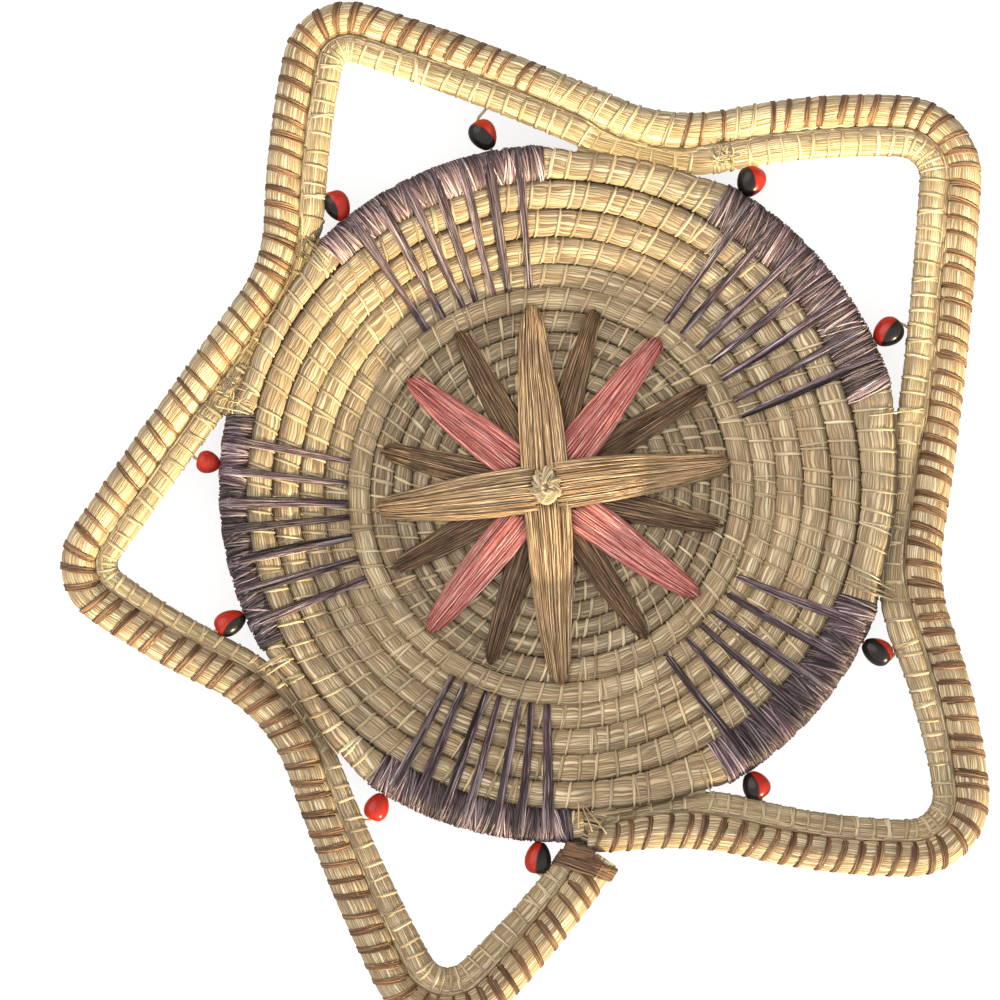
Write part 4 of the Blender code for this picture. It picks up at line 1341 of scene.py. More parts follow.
            foot = line["points"][-1] - ahead * draw(0.0008, 0.0050)
            foot = foot - inward * (BORDER.outer_radius - 0.0006)
            way = -inward * draw(0.1, 0.8) - ahead * draw(-0.4, 1.0)
            path = foot + way * (share * draw(0.0016, 0.0030))[:, None]
            path[:, 2] += 0.0030 * draw(-1.0, 1.0) - 0.0012 * share ** 2
            batch.add(path, UPWARD, 0.0005 * (1.1 - share), 0.0003, draw(0.0, 0.8))
        dress(batch.build(self.finishes.border_brown), Slot.BROWN, "end_binding")

    def build(self) -> None:
        """Builds both coils, their stitches and the binding at their ends."""
        outer = BORDER.outer_line(LINE_STEP)
        inner = BORDER.inner_line(LINE_STEP)
        sink = 180.0 + np.interp(outer["along"], inner["along"], inner["sink"])
        brown = outer["along"][0] + spaced(outer["along"][-1], self.brown_spacing, STITCH_JITTER, self.random)
        self.lay("border_outer_grass", "border_outer_coil", outer, self.bundle, brown, self.brown_slant, sink)
        length = inner["along"][-1] - inner["along"][0]
        pale = inner["along"][0] + spaced(length, self.pale_spacing, self.pale_jitter, self.random)
        self.lay("border_inner_grass", "border_inner_coil", inner, self.thin, pale, self.pale_slant,
                 inner["sink"])
        self.outer_stitches(outer, brown)
        self.inner_stitches(inner, pale)
        self.seam(inner)
        self.binding(outer)


def strip_over(batch: StrandBatch, profile: list[tuple[float, float]], degrees: float, swing: np.ndarray,
               width: Numbers, rise: Numbers, tint: float) -> None:
    """Lays a strip over a profile of the dish.

    Args:
        batch: The batch it joins.
        profile: The profile's points, each a radius and a height.
        degrees: The angle it lies at.
        swing: How far to the side it lies at each station, in metres.
        width: The strip's width.
        rise: How far over the profile it lies.
        tint: Its own shade.
    """
    line = np.array(profile)
    lengths = running_length(np.hypot(*np.diff(line, axis=0).T))
    wanted = np.linspace(0.0, lengths[-1], batch.stations)
    radius, height = at_lengths(wanted, lengths, line).T
    turned = degrees + np.degrees(swing / radius)
    slope = np.gradient(height, wanted)
    run = np.gradient(radius, wanted)
    path = polar(radius, turned, height + rise)
    lean = -slope * np.sign(run + 1e-9)
    up = np.column_stack((heading(turned) * lean[:, None], np.abs(run) + 0.05))
    batch.add(path, unit(up), width, 0.00055, tint)


def dish_crest(turns: float, around: float, lift: float) -> tuple[float, float]:
    """Finds a point on the dish's coil in section.

    Args:
        turns: How far along the coil, in turns.
        around: The angle round the coil in degrees.
        lift: How far out of its surface.

    Returns:
        The point's radius and height.
    """
    point, _ = DISH.coil_point(np.array(turns), np.array(around), lift)
    point = point - AXIS
    return math.hypot(point[0], point[1]), float(point[2])


class PurpleSection(Maker):
    """One purple section: strands wound round the rim, and long stitches in over the wall."""

    under_spacing = 0.0012
    bundle_spacing = 0.0034
    bundle_strands = 6
    loose_spacing = 0.010
    crests_crossed = 4
    fibre_spacing = 0.00037

    def __init__(self, star: StarPoint, finishes: Finishes, seed: int) -> None:
        """Keeps the section's place, the painted toning that evens its strands' shades against its lamps, and
        the painted sheen on some of its stitches.

        Args:
            star: The point of the star that it lies in.
            finishes: The basket's finishes.
            seed: The start of its random numbers.
        """
        self.star = star
        self.seed = seed
        # Painted light: in the upper left section the strands' shades are pulled together to offset the lamps
        # on its winding.
        self.painted_toning = 0.7 if star.name == "upper_left" else 0.0
        # Painted sheen: two fibres of each long stitch in the upper right section are made paler.
        self.painted_sheen = 0.5 if star.name == "upper_right" else 0.0
        super().__init__(finishes)

    def wind(self, batch: StrandBatch, place: float, width: float, lift: float, lean: float,
             tint: float) -> None:
        """Winds one strand round the rim.

        Args:
            batch: The batch it joins.
            place: Where it is, from 0 to 1 along the section.
            width: Its width.
            lift: How far out of the coil it lies.
            lean: How far it moves along the rim from side to side.
            tint: Its own shade.
        """
        first, last = self.star.wrap_deg
        over = np.linspace(178.0, -172.0, 17)
        shift = np.degrees(lean * np.cos(np.radians(over)) / self.star.rim_reach)
        degrees = np.clip(first + (last - first) * place + shift, first - 0.3, last + 0.3)
        turns = DISH.rounds - 1 + DISH.turn_share(degrees)
        path, up = DISH.coil_point(turns, over, lift + self.random.uniform(-0.0001, 0.0001))
        batch.add(path, up, width * self.random.uniform(0.75, 1.3), 0.0005, tint)

    def build(self) -> None:
        """Builds the winding, a close layer under loose bundles, and the long stitches."""
        draw = self.random.uniform
        first, last = self.star.wrap_deg
        arc = math.radians(last - first) * self.star.rim_reach
        batch = StrandBatch("purple_winding_" + self.star.name, 17)
        count = int(arc / self.under_spacing)
        for k in range(count):
            self.wind(batch, (k + draw(0.2, 0.8)) / count, 0.0018, 0.00035,
                      self.random.normal(0.0004, 0.0003), draw(0.05, 0.45) + 0.2 * self.painted_toning)
        bundles = int(arc / self.bundle_spacing)
        for bundle in range(bundles):
            lean = self.random.normal(0.0005, 0.0009)
            mood = self.random.choice((0.1, 0.2, 0.35, 0.7), p=(0.35, 0.3, 0.2, 0.15))
            mood = mood + (0.42 - mood) * self.painted_toning
            for k in range(self.bundle_strands):
                place = (bundle + (k + draw(0.0, 1.0)) / self.bundle_strands) / bundles
                self.wind(batch, place, 0.0007, 0.0006 + 0.0003 * draw(),
                          lean + self.random.normal(0.0, 0.0003),
                          mood + draw(-0.1, 0.3 - 0.15 * self.painted_toning))
        for _ in range(int(arc / self.loose_spacing)):
            self.wind(batch, draw(0.04, 0.96), 0.0006, 0.0009, draw(-0.0028, 0.0028), draw(0.5, 1.0))
        dress(batch.build(self.finishes.purple), Slot.PURPLE, "purple_wrap_" + self.star.name)
        batch = StrandBatch("purple_stitches_" + self.star.name, 17)
        for degrees in np.linspace(*self.star.stitch_deg, self.star.stitches):
            self.long_stitch(batch, float(degrees) + draw(-0.35, 0.35))
        dress(batch.build(self.finishes.purple), Slot.PURPLE)

    def long_stitch(self, batch: StrandBatch, degrees: float) -> None:
        """Adds the fibres of one long stitch over the wall's crests.

        Args:
            batch: The batch they join.
            degrees: The angle it lies at.
        """
        draw = self.random.uniform
        share = float(DISH.turn_share(degrees))
        rounds = DISH.rounds - 1
        profile = [dish_crest(rounds + share, over, 0.0010) for over in (-25.0, 25.0, 62.0, 95.0)]
        for number in range(rounds - 1, rounds - 1 - self.crests_crossed, -1):
            profile.append(dish_crest(number + share, 90.0, 0.00050))
        profile.append((profile[-1][0] - 0.0030, profile[-1][1] - 0.0022))
        count = int(self.random.integers(7, 10))
        lean = draw(-0.0012, 0.0012)
        moods = self.random.permutation((0.05, 0.36)) + draw(-0.05, 0.15, 2) + 0.1 * self.painted_toning
        parting = int(self.random.integers(2, count - 2))
        for k in range(count):
            across = (k - 0.5 * (count - 1)) * self.fibre_spacing
            narrowing = np.linspace(1.25, 0.56, batch.stations)
            wave = draw(-0.0003, 0.0003) * np.sin(np.linspace(0.0, 7.0, batch.stations))
            swing = across * narrowing + lean * np.linspace(0.0, 1.0, batch.stations) + wave
            rise = 0.0003 * (1.0 - (across / 0.0017) ** 2) + draw(-0.00016, 0.00016)
            strip_over(batch, profile, degrees, swing, draw(0.0005, 0.0009), rise,
                       moods[int(k < parting)] + draw(-0.1, 0.3) + self.painted_sheen * (k in (parting, parting + 1)))


class Lashing(Maker):
    """The long pale stitches between rim and border, their seam's straws, and those at the coils' ends."""

    seed = 71
    lead_straws = 64
    slit_straws = 22
    gap_straws = 20
    band_strands = 36
    band_corners = np.array(((0.0012, -0.1168), (-0.0006, -0.1210), (0.0101, -0.1199), (0.0116, -0.1230)))
    tufts = ((0.0540, 0.1094, 0.0308, 34), (-0.1079, 0.0264, 0.0296, 12))

    def lash(self, batch: StrandBatch, inner: Line, degrees: float) -> None:
        """Adds one strip from the rim's inner seam over the rim and the border's inner coil.

        Args:
            batch: The batch it joins.
            inner: The inner coil's line.
            degrees: The angle it lies at.
        """
        draw = self.random.uniform
        from_axis = inner["points"] - AXIS
        nearest = int(np.argmin(np.abs(shortest_turn(bearing(from_axis) - degrees))))
        centre = math.hypot(*from_axis[nearest, :2])
        height, radius = float(from_axis[nearest, 2]), float(inner["radius"][nearest])
        turns = DISH.rounds - 1 + float(DISH.turn_share(degrees))
        edge = dish_crest(turns, 20.0, 0.0006)
        if centre - radius - edge[0] > 0.0026:
            return
        profile = [dish_crest(turns, 175.0, 0.0002), dish_crest(turns, 150.0, 0.0004),
                   dish_crest(turns, 90.0, 0.0005), dish_crest(turns, 45.0, 0.0005),
                   (centre - 0.4 * radius, height + 0.95 * radius + 0.0004),
                   (centre + 0.5 * radius, height + 0.90 * radius + 0.0004),
                   (centre + radius + 0.0003, height)]
        lean = draw(-0.0005, 0.0030)
        swing = np.linspace(-0.5, 0.5, batch.stations) * -lean
        # The strips' low tints are painted shade: they keep these lamp-lit strips dark.
        strip_over(batch, profile, degrees, swing, draw(0.0005, 0.0009), 0.0, draw(0.0, 0.4))

    def seams(self, inner: Line) -> None:
        """Builds the straws that fill the seam between the rim and the border's inner coil.

        Args:
            inner: The inner coil's line.
        """
        batch = StrandBatch("seam_straws", 9)
        from_axis = inner["points"] - AXIS
        degrees = bearing(from_axis)
        share = DISH.turn_share(degrees)
        edge = DISH.rim_edge(share)
        gap = np.hypot(*from_axis[:, :2].T) - inner["radius"] - edge
        close = gap < 0.0030
        length = 0.0100
        for place in np.arange(inner["along"][0], inner["along"][-1] - length, 0.0045):
            window = place + length * np.linspace(0.0, 1.0, 9)
            if np.interp(window, inner["along"], close.astype(float)).min() < 0.999:
                continue
            index = np.searchsorted(inner["along"], window).clip(0, len(gap) - 1)
            middle = edge[index] + 0.5 * gap[index]
            height = 0.5 * (DISH.middle_height(edge[index]) + from_axis[index, 2])
            for level in (-0.0012, 0.0008):
                spots = heading(degrees[index]) * (middle + self.random.uniform(-0.0003, 0.0003))[:, None]
                path = np.column_stack((spots, height + level)) + AXIS
                width = np.clip(gap[index], 0.0, 0.003) + 0.0012
                batch.add(path, UPWARD, width, 0.0009, self.random.uniform(0.0, 0.5))
        dress(batch.build(self.finishes.border_grass), Slot.BORDER)

    def tuft(self, batch: StrandBatch, x: float, y: float, height: float, count: int) -> None:
        """Adds a tuft of curled straw ends.

        Args:
            batch: The batch they join.
            x: Its place along X from the axis.
            y: Its place along Y.
            height: Its height.
            count: How many ends it has.
        """
        draw = self.random.uniform
        share = np.linspace(0.0, 1.0, batch.stations)
        for _ in range(count):
            turn = draw(0.0, 360.0) + draw(-160.0, 160.0) * share
            length = draw(0.002, 0.0055)
            steps = np.column_stack((heading(turn), 0.5 * np.sin(share * draw(2.0, 6.0))))
            foot = AXIS + np.array((x, y, height)) + draw(-0.0022, 0.0022, 3) * (1.0, 0.7, 0.2)
            path = foot + np.cumsum(steps, axis=0) * length / batch.stations
            batch.add(path, UPWARD, draw(0.0003, 0.0005), 0.0003, draw(0.0, 0.7))

    def joint(self) -> None:
        """Builds the straws from the rim's cut end into the border's start, and those in the slits there."""
        draw = self.random.uniform
        start = BORDER.outer_line(LINE_STEP)["points"][0] - AXIS
        start_deg = math.degrees(math.atan2(start[1], start[0]))
        batch = StrandBatch("coil_end_straws", 9)
        share = np.linspace(0.0, 1.0, 9)
        bow = np.sin(math.pi * share)
        for k in range(self.lead_straws):
            level = (k + 0.5) / self.lead_straws
            round_it = math.sqrt(1.0 - (2.0 * level - 1.0) ** 2)
            high = draw(-1.0, 1.0) * round_it
            begin = polar(DISH.seam_radius(DISH.rounds) + 0.0006 + 0.0082 * level, start_deg - 1.5,
                          0.0262 + 0.0040 * high)
            finish = polar(0.1092 + 0.0114 * level, start_deg + 2.6 + draw(-0.6, 1.2),
                           0.0264 + 0.0036 * high)
            path = part_way(begin, finish, share)
            path[:, 2] += 0.0004 * bow * draw(-1.0, 1.0)
            path[:, 1] += 0.0004 * bow * draw(-1.0, 1.0)
            batch.add(path, UPWARD, draw(0.0008, 0.0014), 0.0007, draw(0.0, 0.9))
        for _ in range(self.slit_straws):
            level = draw(0.0, 1.0)
            high = 0.0250 + 0.0030 * level
            begin = polar(0.1078 + 0.0016 * level, start_deg + 1.0 + 2.5 * draw(), high)
            finish = polar(0.1079 + 0.0013 * level, start_deg + 6.0 + 2.5 * draw(), high)
            batch.add(part_way(begin, finish, share), UPWARD, 0.0009, 0.0007, draw(0.0, 0.9))
        for k in range(self.gap_straws):
            level = k / (self.gap_straws - 1.0)
            begin = polar(0.1132 + 0.0066 * level, 271.3, 0.0225 + 0.0012 * level)
            finish = polar(0.1136 + 0.0060 * level, 277.0, 0.0240)
            batch.add(part_way(begin, finish, share), UPWARD, 0.0008, 0.0007, draw(0.0, 0.9))
        for k in range(3):
            begin = polar(0.1036 + 0.0003 * k, start_deg - 1.3 + 0.25 * k, 0.0316)
            finish = polar(0.1128 + 0.0012 * k, start_deg - 1.5 + 2.3 * k, 0.0306)
            path = part_way(begin, finish, share)
            path[:, 2] += 0.0008 * bow
            batch.add(path, UPWARD, 0.0005, 0.0004, draw(0.2, 0.5))
        dress(batch.build(self.finishes.border_grass), Slot.BORDER)

    def band(self) -> None:
        """Builds the brown strands that run slanting over the end band, in two layers."""
        draw = self.random.uniform
        batch = StrandBatch("end_binding_strands", 9)
        share = np.linspace(0.0, 1.0, 9)
        corners = self.band_corners
        layer = self.band_strands // 2
        for k in range(self.band_strands):
            level = (k % layer + draw(0.2, 0.8)) / layer
            foot = corners[0] + (corners[1] - corners[0]) * level
            head = corners[2] + (corners[3] - corners[2]) * (level + draw(-0.08, 0.08))
            low = 0.0 if k < layer else 0.0009
            high = 0.0294 + 0.0004 * level + 0.0020 * np.sin(math.pi * np.minimum(share / 0.8, 1.0) * 0.8)
            path = np.column_stack((part_way(foot, head, share), high - low)) + AXIS
            batch.add(path, UPWARD, draw(0.0008, 0.0012), 0.0005, draw(0.0, 0.7))
        dress(batch.build(self.finishes.border_brown), Slot.BROWN)

    def build(self) -> None:
        """Builds the strips at both ends of every section, and the stray ends."""
        inner = BORDER.inner_line(LINE_STEP)
        batch = StrandBatch("lashing_straws", 13)
        for star in STAR_POINTS:
            for end, way in ((star.wrap_deg[0], -1.0), (star.wrap_deg[1], 1.0)):
                for k in range(0 if star.name == "bottom" and way > 0.0 else 4):
                    self.lash(batch, inner, end + way * (0.9 + 1.0 * k) + self.random.uniform(-0.4, 0.4))
        for place in self.tufts:
            self.tuft(batch, *place)
        dress(batch.build(self.finishes.stitch_grass), Slot.GRASS)
        self.seams(inner)
        self.joint()
        self.band()


@dataclass(frozen=True)
class PetalKind:
    """One kind of raffia petal: from where to where it lies, its widths and how it is stacked."""

    name: str
    base_at: float
    base_width: float
    tip_width: float
    thickness: float
    stack: float
    stacked_to: float
    level_from: float
    fibres: int
    slot: Slot


TAN = PetalKind("tan", 0.0030, 0.0158, 0.0062, 0.0016, 0.0036, 0.0290, 0.0430, 34, Slot.TAN)
PINK = PetalKind("pink", 0.0122, 0.0128, 0.0054, 0.0014, 0.0018, 0.0300, 0.0380, 27, Slot.PINK)
BROWN = PetalKind("brown", 0.0150, 0.0098, 0.0050, 0.0013, 0.0, 0.0200, 0.0210, 22, Slot.BROWN)
PETAL_ORDER = (TAN, BROWN, PINK, BROWN)
PETAL_DEG = (8.6, 33.2, 53.9, 75.6, 95.7, 120.2, 142.3, 166.9,
             186.8, 207.2, 229.6, 251.1, 273.1, 303.0, 324.8, 348.1)
PETAL_REACH = (0.0613, 0.0637, 0.0634, 0.0629, 0.0621, 0.0612, 0.0601, 0.0583,
               0.0585, 0.0590, 0.0625, 0.0619, 0.0651, 0.0590, 0.0616, 0.0593)


class RaffiaStar(Maker):
    """The sixteen petals on the floor and the knot in their middle."""

    seed = 37
    knot_centre = np.array((-0.0049, -0.0003))
    tips_centre = np.array((-0.0027, 0.0))

    def petal(self, batch: StrandBatch, kind: PetalKind, degrees: float, reach: float) -> None:
        """Adds one petal's fibres to a batch.

        Args:
            batch: The batch they join.
            kind: The petal's kind.
            degrees: The way it points.
            reach: How far its tip is from the middle of the star.
        """
        draw = self.random.uniform
        root = self.knot_centre
        tip = self.tips_centre + heading(degrees) * reach
        out = (tip - root) / np.hypot(*(tip - root))
        side = np.array((-out[1], out[0]))
        length = float(np.hypot(*(tip - root)))
        stations = batch.stations
        crossing = abs(out[0]) > 0.7 and kind is TAN
        base = kind.base_at + (0.0012 if kind is TAN and out[1] < -0.7 else 0.0)
        for layer in (0, 1):
            count = kind.fibres if layer else kind.fibres // 2
            for k in range(count):
                across = (2.0 * (k + draw(0.25, 0.75)) / count - 1.0) * 0.96
                start = base + 0.0006 * across ** 2 + draw(-0.0009, 0.0009)
                end = length - 0.0036 * across ** 2 + draw(-0.0012, 0.0009)
                along = np.linspace(start, end, stations)
                share = (along - kind.base_at) / (length - kind.base_at)
                half = 0.5 * (kind.base_width + (kind.tip_width - kind.base_width) * np.abs(share) ** 2.0)
                wave = np.sin(share * draw(2.0, 6.0) + draw(0.0, TURN))
                offset = across * half + wave * 0.0004 * draw(0.3, 1.0)
                foot = root + out * along[:, None] + side * offset[:, None]
                radius = np.hypot(*foot.T)
                stack = kind.stack * (1.0 - smooth(
                    (along - kind.stacked_to) / (kind.level_from - kind.stacked_to)))
                stack = stack + 0.0007 * crossing * (1.0 - smooth((along - 0.010) / 0.010))
                low = DISH.top_height(radius) + 0.0005 + stack
                crown = kind.thickness * (0.55 + 0.45 * (1.0 - across * across)) * (1.0 if layer else 0.45)
                height = low + crown - 0.0003 + draw(-0.00024, 0.00024) * layer
                height = height - 0.0014 * smooth((share - 0.95) / 0.05)
                height = height + draw(-0.0002, 0.0004) * np.sin(share * 9.0) * layer
                path = np.column_stack((foot, height)) + AXIS
                up = np.append(side * (across * 0.35 + draw(-0.3, 0.3)), 1.0)
                width = 2.0 * half / count * (draw(0.7, 1.25) if layer else 2.2)
                # The under layer gets the darkest tint: painted shade seen between the top fibres.
                batch.add(path, unit(up), width, 0.00055, draw(0.25, 1.0) if layer else 0.0)

    def build(self) -> None:
        """Builds the petals, one piece to a kind, and the knot."""
        materials = {"tan": self.finishes.tan, "pink": self.finishes.pink, "brown": self.finishes.brown}
        for kind in (BROWN, PINK, TAN):
            batch = StrandBatch(kind.name + "_petals", 13, 6)
            nodes = []
            for number, (degrees, reach) in enumerate(zip(PETAL_DEG, PETAL_REACH)):
                if PETAL_ORDER[number % 4] is kind:
                    self.petal(batch, kind, degrees, reach)
                    nodes.append(kind.name + "_petal_" + str(len(nodes) + 1))
            dress(batch.build(materials[kind.name]), kind.slot, *nodes)
        self.knot()

    def knot(self) -> None:
        """Builds the knot: a low nest of folded straw strips over the petals' ends, rounder at the bottom."""
        draw = self.random.uniform
        batch = StrandBatch("knot_strips", 13, 6)
        centre = np.array((*self.knot_centre, 0.0)) + AXIS
        base = float(DISH.top_height(0.0)) + 0.0003
        share = np.linspace(0.0, 1.0, 13)

        def strip(plan: np.ndarray, height: Numbers, lean: float, width: Numbers, tint: float) -> None:
            """Adds a strip through points in plan about the knot, leaning outwards."""
            spots = np.column_stack((plan[:, 0] * 0.88, plan[:, 1] * 1.18, np.broadcast_to(height, (13,))))
            batch.add(spots + centre, unit(np.column_stack((unit(plan) * lean, np.ones(13)))),
                      width, 0.0006, tint)

        for k in range(16):
            turn = draw(0.0, 360.0) + np.linspace(0.0, draw(200.0, 330.0), 13)
            ring = 0.0050 - 0.00028 * k + draw(-0.0003, 0.0003)
            strip(heading(turn) * ring, base + 0.0030 + 0.00024 * k, draw(0.3, 1.2), 0.0019, draw(0.0, 0.5))
        for k in range(7):
            turn = 26.0 * k + draw(-9.0, 9.0)
            plan = heading(turn) * (0.0046 * (share - 0.5))[:, None] + heading(turn + 90.0) * 0.0006
            strip(plan, base + 0.0064 + 0.0008 * np.sin(math.pi * share), 0.2, 0.0015, draw(0.0, 0.5))
        for k in range(20):
            turn = -20.0 + 220.0 * k / 19.0 + draw(-9.0, 9.0)
            turn = turn + (150.0 if k % 6 == 5 else 0.0)
            reach = draw(0.0034, 0.0054)
            fold = np.sin(math.pi * share) ** 0.8
            plan = heading(turn) * (0.0006 + reach * fold)[:, None]
            plan = plan + heading(turn + 90.0) * ((share - 0.5) * draw(0.0010, 0.0034))[:, None]
            strip(plan, base + 0.0074 + 0.0006 * share - 0.0010 * fold + draw(-0.0003, 0.0006),
                  draw(-0.6, 0.6), 0.0011, draw(0.0, 0.6))
        for k in range(5):
            turn = np.linspace(188.0 + 7.0 * k, 356.0 - 7.0 * k, 13)
            strip(heading(turn) * (0.0046 - 0.0007 * k), base + 0.0070 + 0.0003 * k, 1.1 - 0.25 * k, 0.0015,
                  draw(0.4, 0.7))
        dress(batch.build(self.finishes.stitch_grass), Slot.GRASS, "centre_knot")


@dataclass(frozen=True)
class SeedBead:
    """One seed: its rim angle, the lean of its strip, its size and the way its black patch faces."""

    name: str
    rim_deg: float
    lean_deg: float
    length: float
    width: float
    patch_deg: float
    patch_size: float

    @property
    def out(self) -> np.ndarray:
        """The way its strip leads, away from the axis."""
        return np.append(heading(self.rim_deg + self.lean_deg), 0.0)


SEEDS = (
    SeedBead("lower_right_1", 303.0, -4.0, 0.0100, 0.0090, 195.0, 0.36),
    SeedBead("lower_right_2", 332.6, -4.0, 0.0112, 0.0086, 215.0, 0.58),
    SeedBead("upper_right_1", 24.6, 14.0, 0.0112, 0.0094, 325.0, 0.42),
    SeedBead("upper_right_2", 57.8, 6.0, 0.0112, 0.0094, 195.0, 0.40),
    SeedBead("upper_left_1", 101.6, 17.0, 0.0110, 0.0090, 235.0, 0.45),
    SeedBead("upper_left_2", 129.4, -14.0, 0.0110, 0.0084, 205.0, 0.26),
    SeedBead("left_1", 176.9, -11.0, 0.0082, 0.0074, 0.0, 0.0),
    SeedBead("left_2", 202.4, 5.0, 0.0112, 0.0082, 315.0, 0.33),
    SeedBead("bottom_1", 239.8, 6.0, 0.0098, 0.0078, 0.0, 0.0),
    SeedBead("bottom_2", 266.3, -2.0, 0.0112, 0.0086, 350.0, 0.42),
)


class Seeds(Maker):
    """The ten seeds and the strips that hold them."""

    seed = 53

    def bead(self, seed: SeedBead) -> np.ndarray:
        """Builds one seed.

        Args:
            seed: The seed.

        Returns:
            Its middle.
        """
        low, high = (np.array(corner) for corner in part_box("seed_" + seed.name))
        middle = 0.5 * (low + high)
        work = bmesh.new()
        bmesh.ops.create_uvsphere(work, u_segments=32, v_segments=20, radius=1.0)
        mesh, ball = mesh_of(work, "bead_" + seed.name)
        side = np.append(heading(seed.rim_deg + seed.lean_deg + 90.0), 0.0)
        lengthwise = ball[:, 2]
        swell = 1.0 + 0.20 * lengthwise
        dent = 1.0 - 0.10 * np.exp(-((1.0 - np.abs(lengthwise)) / 0.05))
        points = (middle + seed.out * (0.5 * seed.length * lengthwise * dent)[:, None]
                  + side * (0.5 * seed.width * ball[:, 0] * swell)[:, None])
        points[:, 2] += 0.5 * seed.width * ball[:, 1] * swell
        mesh.vertices.foreach_set("co", points.astype(np.float32).ravel())
        facing = np.append(heading(seed.patch_deg), 0.35)
        facing = facing / np.linalg.norm(facing)
        values = np.zeros(len(points))
        if seed.patch_size > 0.0:
            values = 0.5 + 0.5 * (unit(points - middle) @ facing - (1.0 - 2.0 * seed.patch_size))
        patch = mesh.attributes.new("patch", "FLOAT", "POINT")
        patch.data.foreach_set("value", values.astype(np.float32))
        dress(close_up(mesh, self.finishes.seed), Slot.SEED, "seed_" + seed.name)
        return middle

    def build(self) -> None:
        """Builds every seed and its strip."""
        inner = BORDER.inner_line(LINE_STEP)
        batch = StrandBatch("seed_strips", 9)
        for seed in SEEDS:
            middle, out = self.bead(seed), seed.out
            gaps = np.linalg.norm(inner["points"] - (middle + out * 0.004), axis=1) - inner["radius"]
            nearest = int(np.argmin(gaps))
            target = inner["points"][nearest]
            reach = unit(target - middle)
            end = target - reach * (inner["radius"][nearest] - 0.0006)
            start = middle - out * (0.5 * seed.length + 0.0016)
            half = out * 0.5 * seed.length
            knots = np.array((start, middle - half, middle, middle + half, end))
            lengths = running_length(np.linalg.norm(np.diff(knots, axis=0), axis=1))
            path = at_lengths(np.linspace(0.0, lengths[-1], 9), lengths, knots)
            batch.add(path, UPWARD, 0.0010, 0.0006, self.random.uniform())
        nodes = ["tie_" + seed.name for seed in SEEDS]
        dress(batch.build(self.finishes.stitch_grass), Slot.GRASS, *nodes)


@dataclass(frozen=True)
class SunLamp:
    """A far lamp: its strength, colour and spread, its place, and how the names of what it lights start."""

    name: str
    energy: float
    colour: tuple[float, float, float]
    spread_deg: float
    toward_deg: float
    height_deg: float
    lit: tuple[str, ...] = ("",)
    skipped: tuple[str, ...] = ()


STAR_PIECES = ("tan_petals", "pink_petals", "brown_petals", "knot_strips")
SUN_LAMPS = (
    SunLamp("key", 7.6, (1.0, 0.82, 0.46), 2.5, 305.0, 7.5, skipped=STAR_PIECES),
    SunLamp("petal_light", 8.2, (1.0, 0.82, 0.50), 2.0, 302.0, 9.3, STAR_PIECES),
    SunLamp("fill", 1.4, (1.0, 0.95, 0.87), 60.0, 150.0, 40.0),
    SunLamp("section_light", 4.2, (1.0, 0.80, 0.58), 4.0, 282.0, 34.0, ("purple_winding_upper_left",)),
)


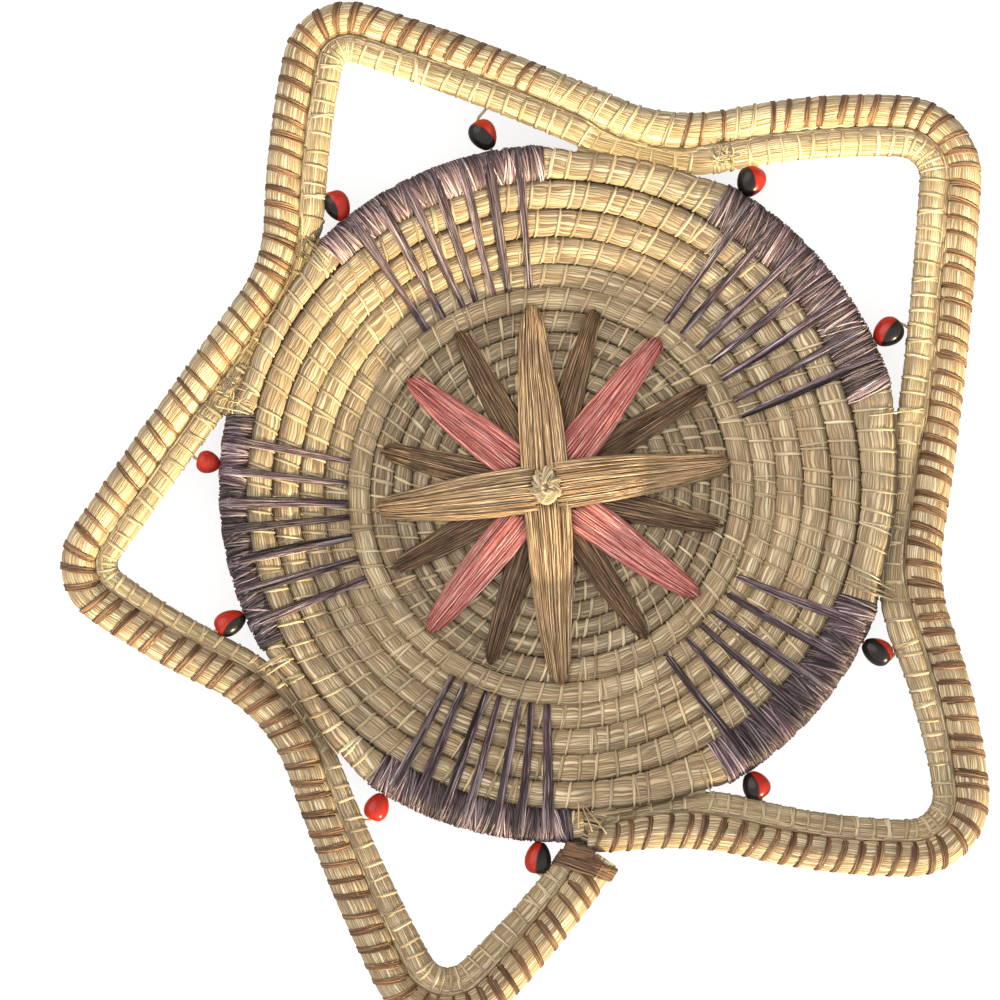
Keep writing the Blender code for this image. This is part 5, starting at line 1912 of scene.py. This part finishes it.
class Studio:
    """The pale floor, the lights and the camera."""

    floor_half_size = 4.0
    floor_drop = 0.0006
    floor_colour = (0.66, 0.66, 0.66, 1.0)
    floor_glow = 0.70
    sky_colour = (0.99, 0.985, 0.985, 1.0)
    sky_strength = 1.15
    north_shade = 0.80
    fov_deg = 19.7
    distance = 0.95
    tilt_deg = 5.5
    toward_deg = 229.0
    aim_point = np.array((-0.02046, -0.00495, 0.026))
    cone_half_deg = 80.0
    cone_edge = np.array((0.0, -0.030, 0.028))

    def floor(self) -> None:
        """Lays the pale floor, whose glow only the camera sees."""
        work = bmesh.new()
        bmesh.ops.create_grid(work, x_segments=1, y_segments=1, size=self.floor_half_size)
        mesh, places = mesh_of(work, "pale_floor")
        mesh.vertices.foreach_set("co", (places - self.floor_drop * UPWARD).astype(np.float32).ravel())
        material, sketch, shader = new_material("pale_floor")
        seen = sketch.add("ShaderNodeLightPath").outputs["Is Camera Ray"]
        sketch.feed(shader, {"Base Color": self.floor_colour, "Roughness": 0.9,
                             "Emission Color": (1.0, 1.0, 1.0, 1.0),
                             "Emission Strength": sketch.math("MULTIPLY", seen, self.floor_glow)})
        mesh.materials.append(material)
        ground = bpy.data.objects.new("pale_floor", mesh)
        bpy.context.scene.collection.objects.link(ground)

    def aim(self, lamp: bpy.types.Light, toward_deg: float, height_deg: float, prefixes: tuple[str, ...],
            skipped: tuple[str, ...] = (), distance: float = 0.0) -> bpy.types.Object:
        """Places a lamp that lights only some pieces.

        Args:
            lamp: The lamp.
            toward_deg: The direction that it stands in.
            height_deg: How high it stands over the horizon.
            prefixes: How the names of the pieces that it lights start.
            skipped: How the names of the pieces that it leaves out start.
            distance: How far away it stands.

        Returns:
            The lamp's object.
        """
        holder = bpy.data.objects.new(lamp.name, lamp)
        height, turn = math.radians(height_deg), math.radians(toward_deg)
        back = Vector((math.cos(height) * math.cos(turn), math.cos(height) * math.sin(turn),
                       math.sin(height)))
        holder.rotation_euler = back.to_track_quat("Z", "Y").to_euler()
        holder.location = Vector(AXIS) + back * distance
        bpy.context.scene.collection.objects.link(holder)
        lit = bpy.data.collections.new("lit_by_" + lamp.name)
        for piece in bpy.context.scene.objects:
            left_out = piece.name.startswith(skipped + ("pale_floor",))
            if piece.type == "MESH" and piece.name.startswith(prefixes) and not left_out:
                lit.objects.link(piece)
        holder.light_linking.receiver_collection = lit
        return holder

    def lights(self) -> None:
        """Sets the surrounding light, dimmer from +Y, and the lamps."""
        world = bpy.data.worlds.new("studio")
        world.use_nodes = True
        sketch = NodeSketch(world.node_tree)
        ray = sketch.add("ShaderNodeTexCoord").outputs["Generated"]
        north = sketch.add("ShaderNodeSeparateXYZ", {"Vector": ray}).outputs["Y"]
        shade = sketch.math("MULTIPLY", sketch.math("MAXIMUM", north, 0.0), self.north_shade)
        strength = sketch.math("MULTIPLY", sketch.math("SUBTRACT", 1.0, shade), self.sky_strength)
        sketch.feed(world.node_tree.nodes["Background"], {"Color": self.sky_colour, "Strength": strength})
        bpy.context.scene.world = world
        for sun in SUN_LAMPS:
            lamp = bpy.data.lights.new(sun.name, "SUN")
            lamp.energy, lamp.color, lamp.angle = sun.energy, sun.colour, math.radians(sun.spread_deg)
            self.aim(lamp, sun.toward_deg, sun.height_deg, sun.lit, sun.skipped)
        self.border_light()

    def border_light(self) -> None:
        """Sets the spot lamp on the upper border; the edge of its cone falls across the basket."""
        upper = bpy.data.lights.new("upper_border_light", "SPOT")
        upper.energy = 185.0
        upper.color = (1.0, 0.88, 0.52)
        upper.spot_size = math.radians(2.0 * self.cone_half_deg)
        upper.spot_blend = 0.02
        upper.shadow_soft_size = 0.03
        prefixes = ("border", "lashing", "purple_winding_upper")
        holder = self.aim(upper, 282.0, 32.0, prefixes, distance=1.5)
        holder.light_linking.blocker_collection = holder.light_linking.receiver_collection
        ray = Vector(AXIS + self.cone_edge) - holder.location
        flat = Vector((ray.x, ray.y, 0.0)).normalized()
        drop = math.atan2(-ray.z, math.hypot(ray.x, ray.y))
        look = math.radians(self.cone_half_deg) - drop
        forward = flat * math.cos(look) + Vector((0.0, 0.0, math.sin(look)))
        holder.rotation_euler = (-forward).to_track_quat("Z", "Y").to_euler()

    def camera(self) -> None:
        """Places the camera as the photograph's."""
        data = bpy.data.cameras.new("camera")
        data.sensor_fit = "HORIZONTAL"
        data.sensor_width = 36.0
        data.lens = 18.0 / math.tan(math.radians(0.5 * self.fov_deg))
        eye = bpy.data.objects.new("camera", data)
        tilt, toward = math.radians(self.tilt_deg), math.radians(self.toward_deg)
        back = Vector((math.sin(tilt) * math.cos(toward), math.sin(tilt) * math.sin(toward), math.cos(tilt)))
        target = Vector(AXIS + self.aim_point)
        up = Vector((0.0, 1.0, 0.0))
        up = (up - back * up.dot(back)).normalized()
        right = up.cross(back)
        turned = Matrix((right, up, back)).transposed().to_4x4()
        eye.matrix_world = Matrix.Translation(target + back * self.distance) @ turned
        bpy.context.scene.collection.objects.link(eye)
        bpy.context.scene.camera = eye

    def build(self) -> None:
        """Sets up the studio."""
        self.floor()
        self.lights()
        self.camera()
        bpy.context.scene.view_settings.view_transform = "Standard"


def main() -> None:
    """Builds the basket and the studio."""
    logging.basicConfig(level=logging.INFO, format="%(message)s")
    finishes = Finishes()
    CoiledDish(finishes).build()
    StarBorder(finishes).build()
    for number, star in enumerate(STAR_POINTS):
        PurpleSection(star, finishes, 101 + number).build()
    Lashing(finishes).build()
    RaffiaStar(finishes).build()
    Seeds(finishes).build()
    Studio().build()


if __name__ == "__main__":
    main()
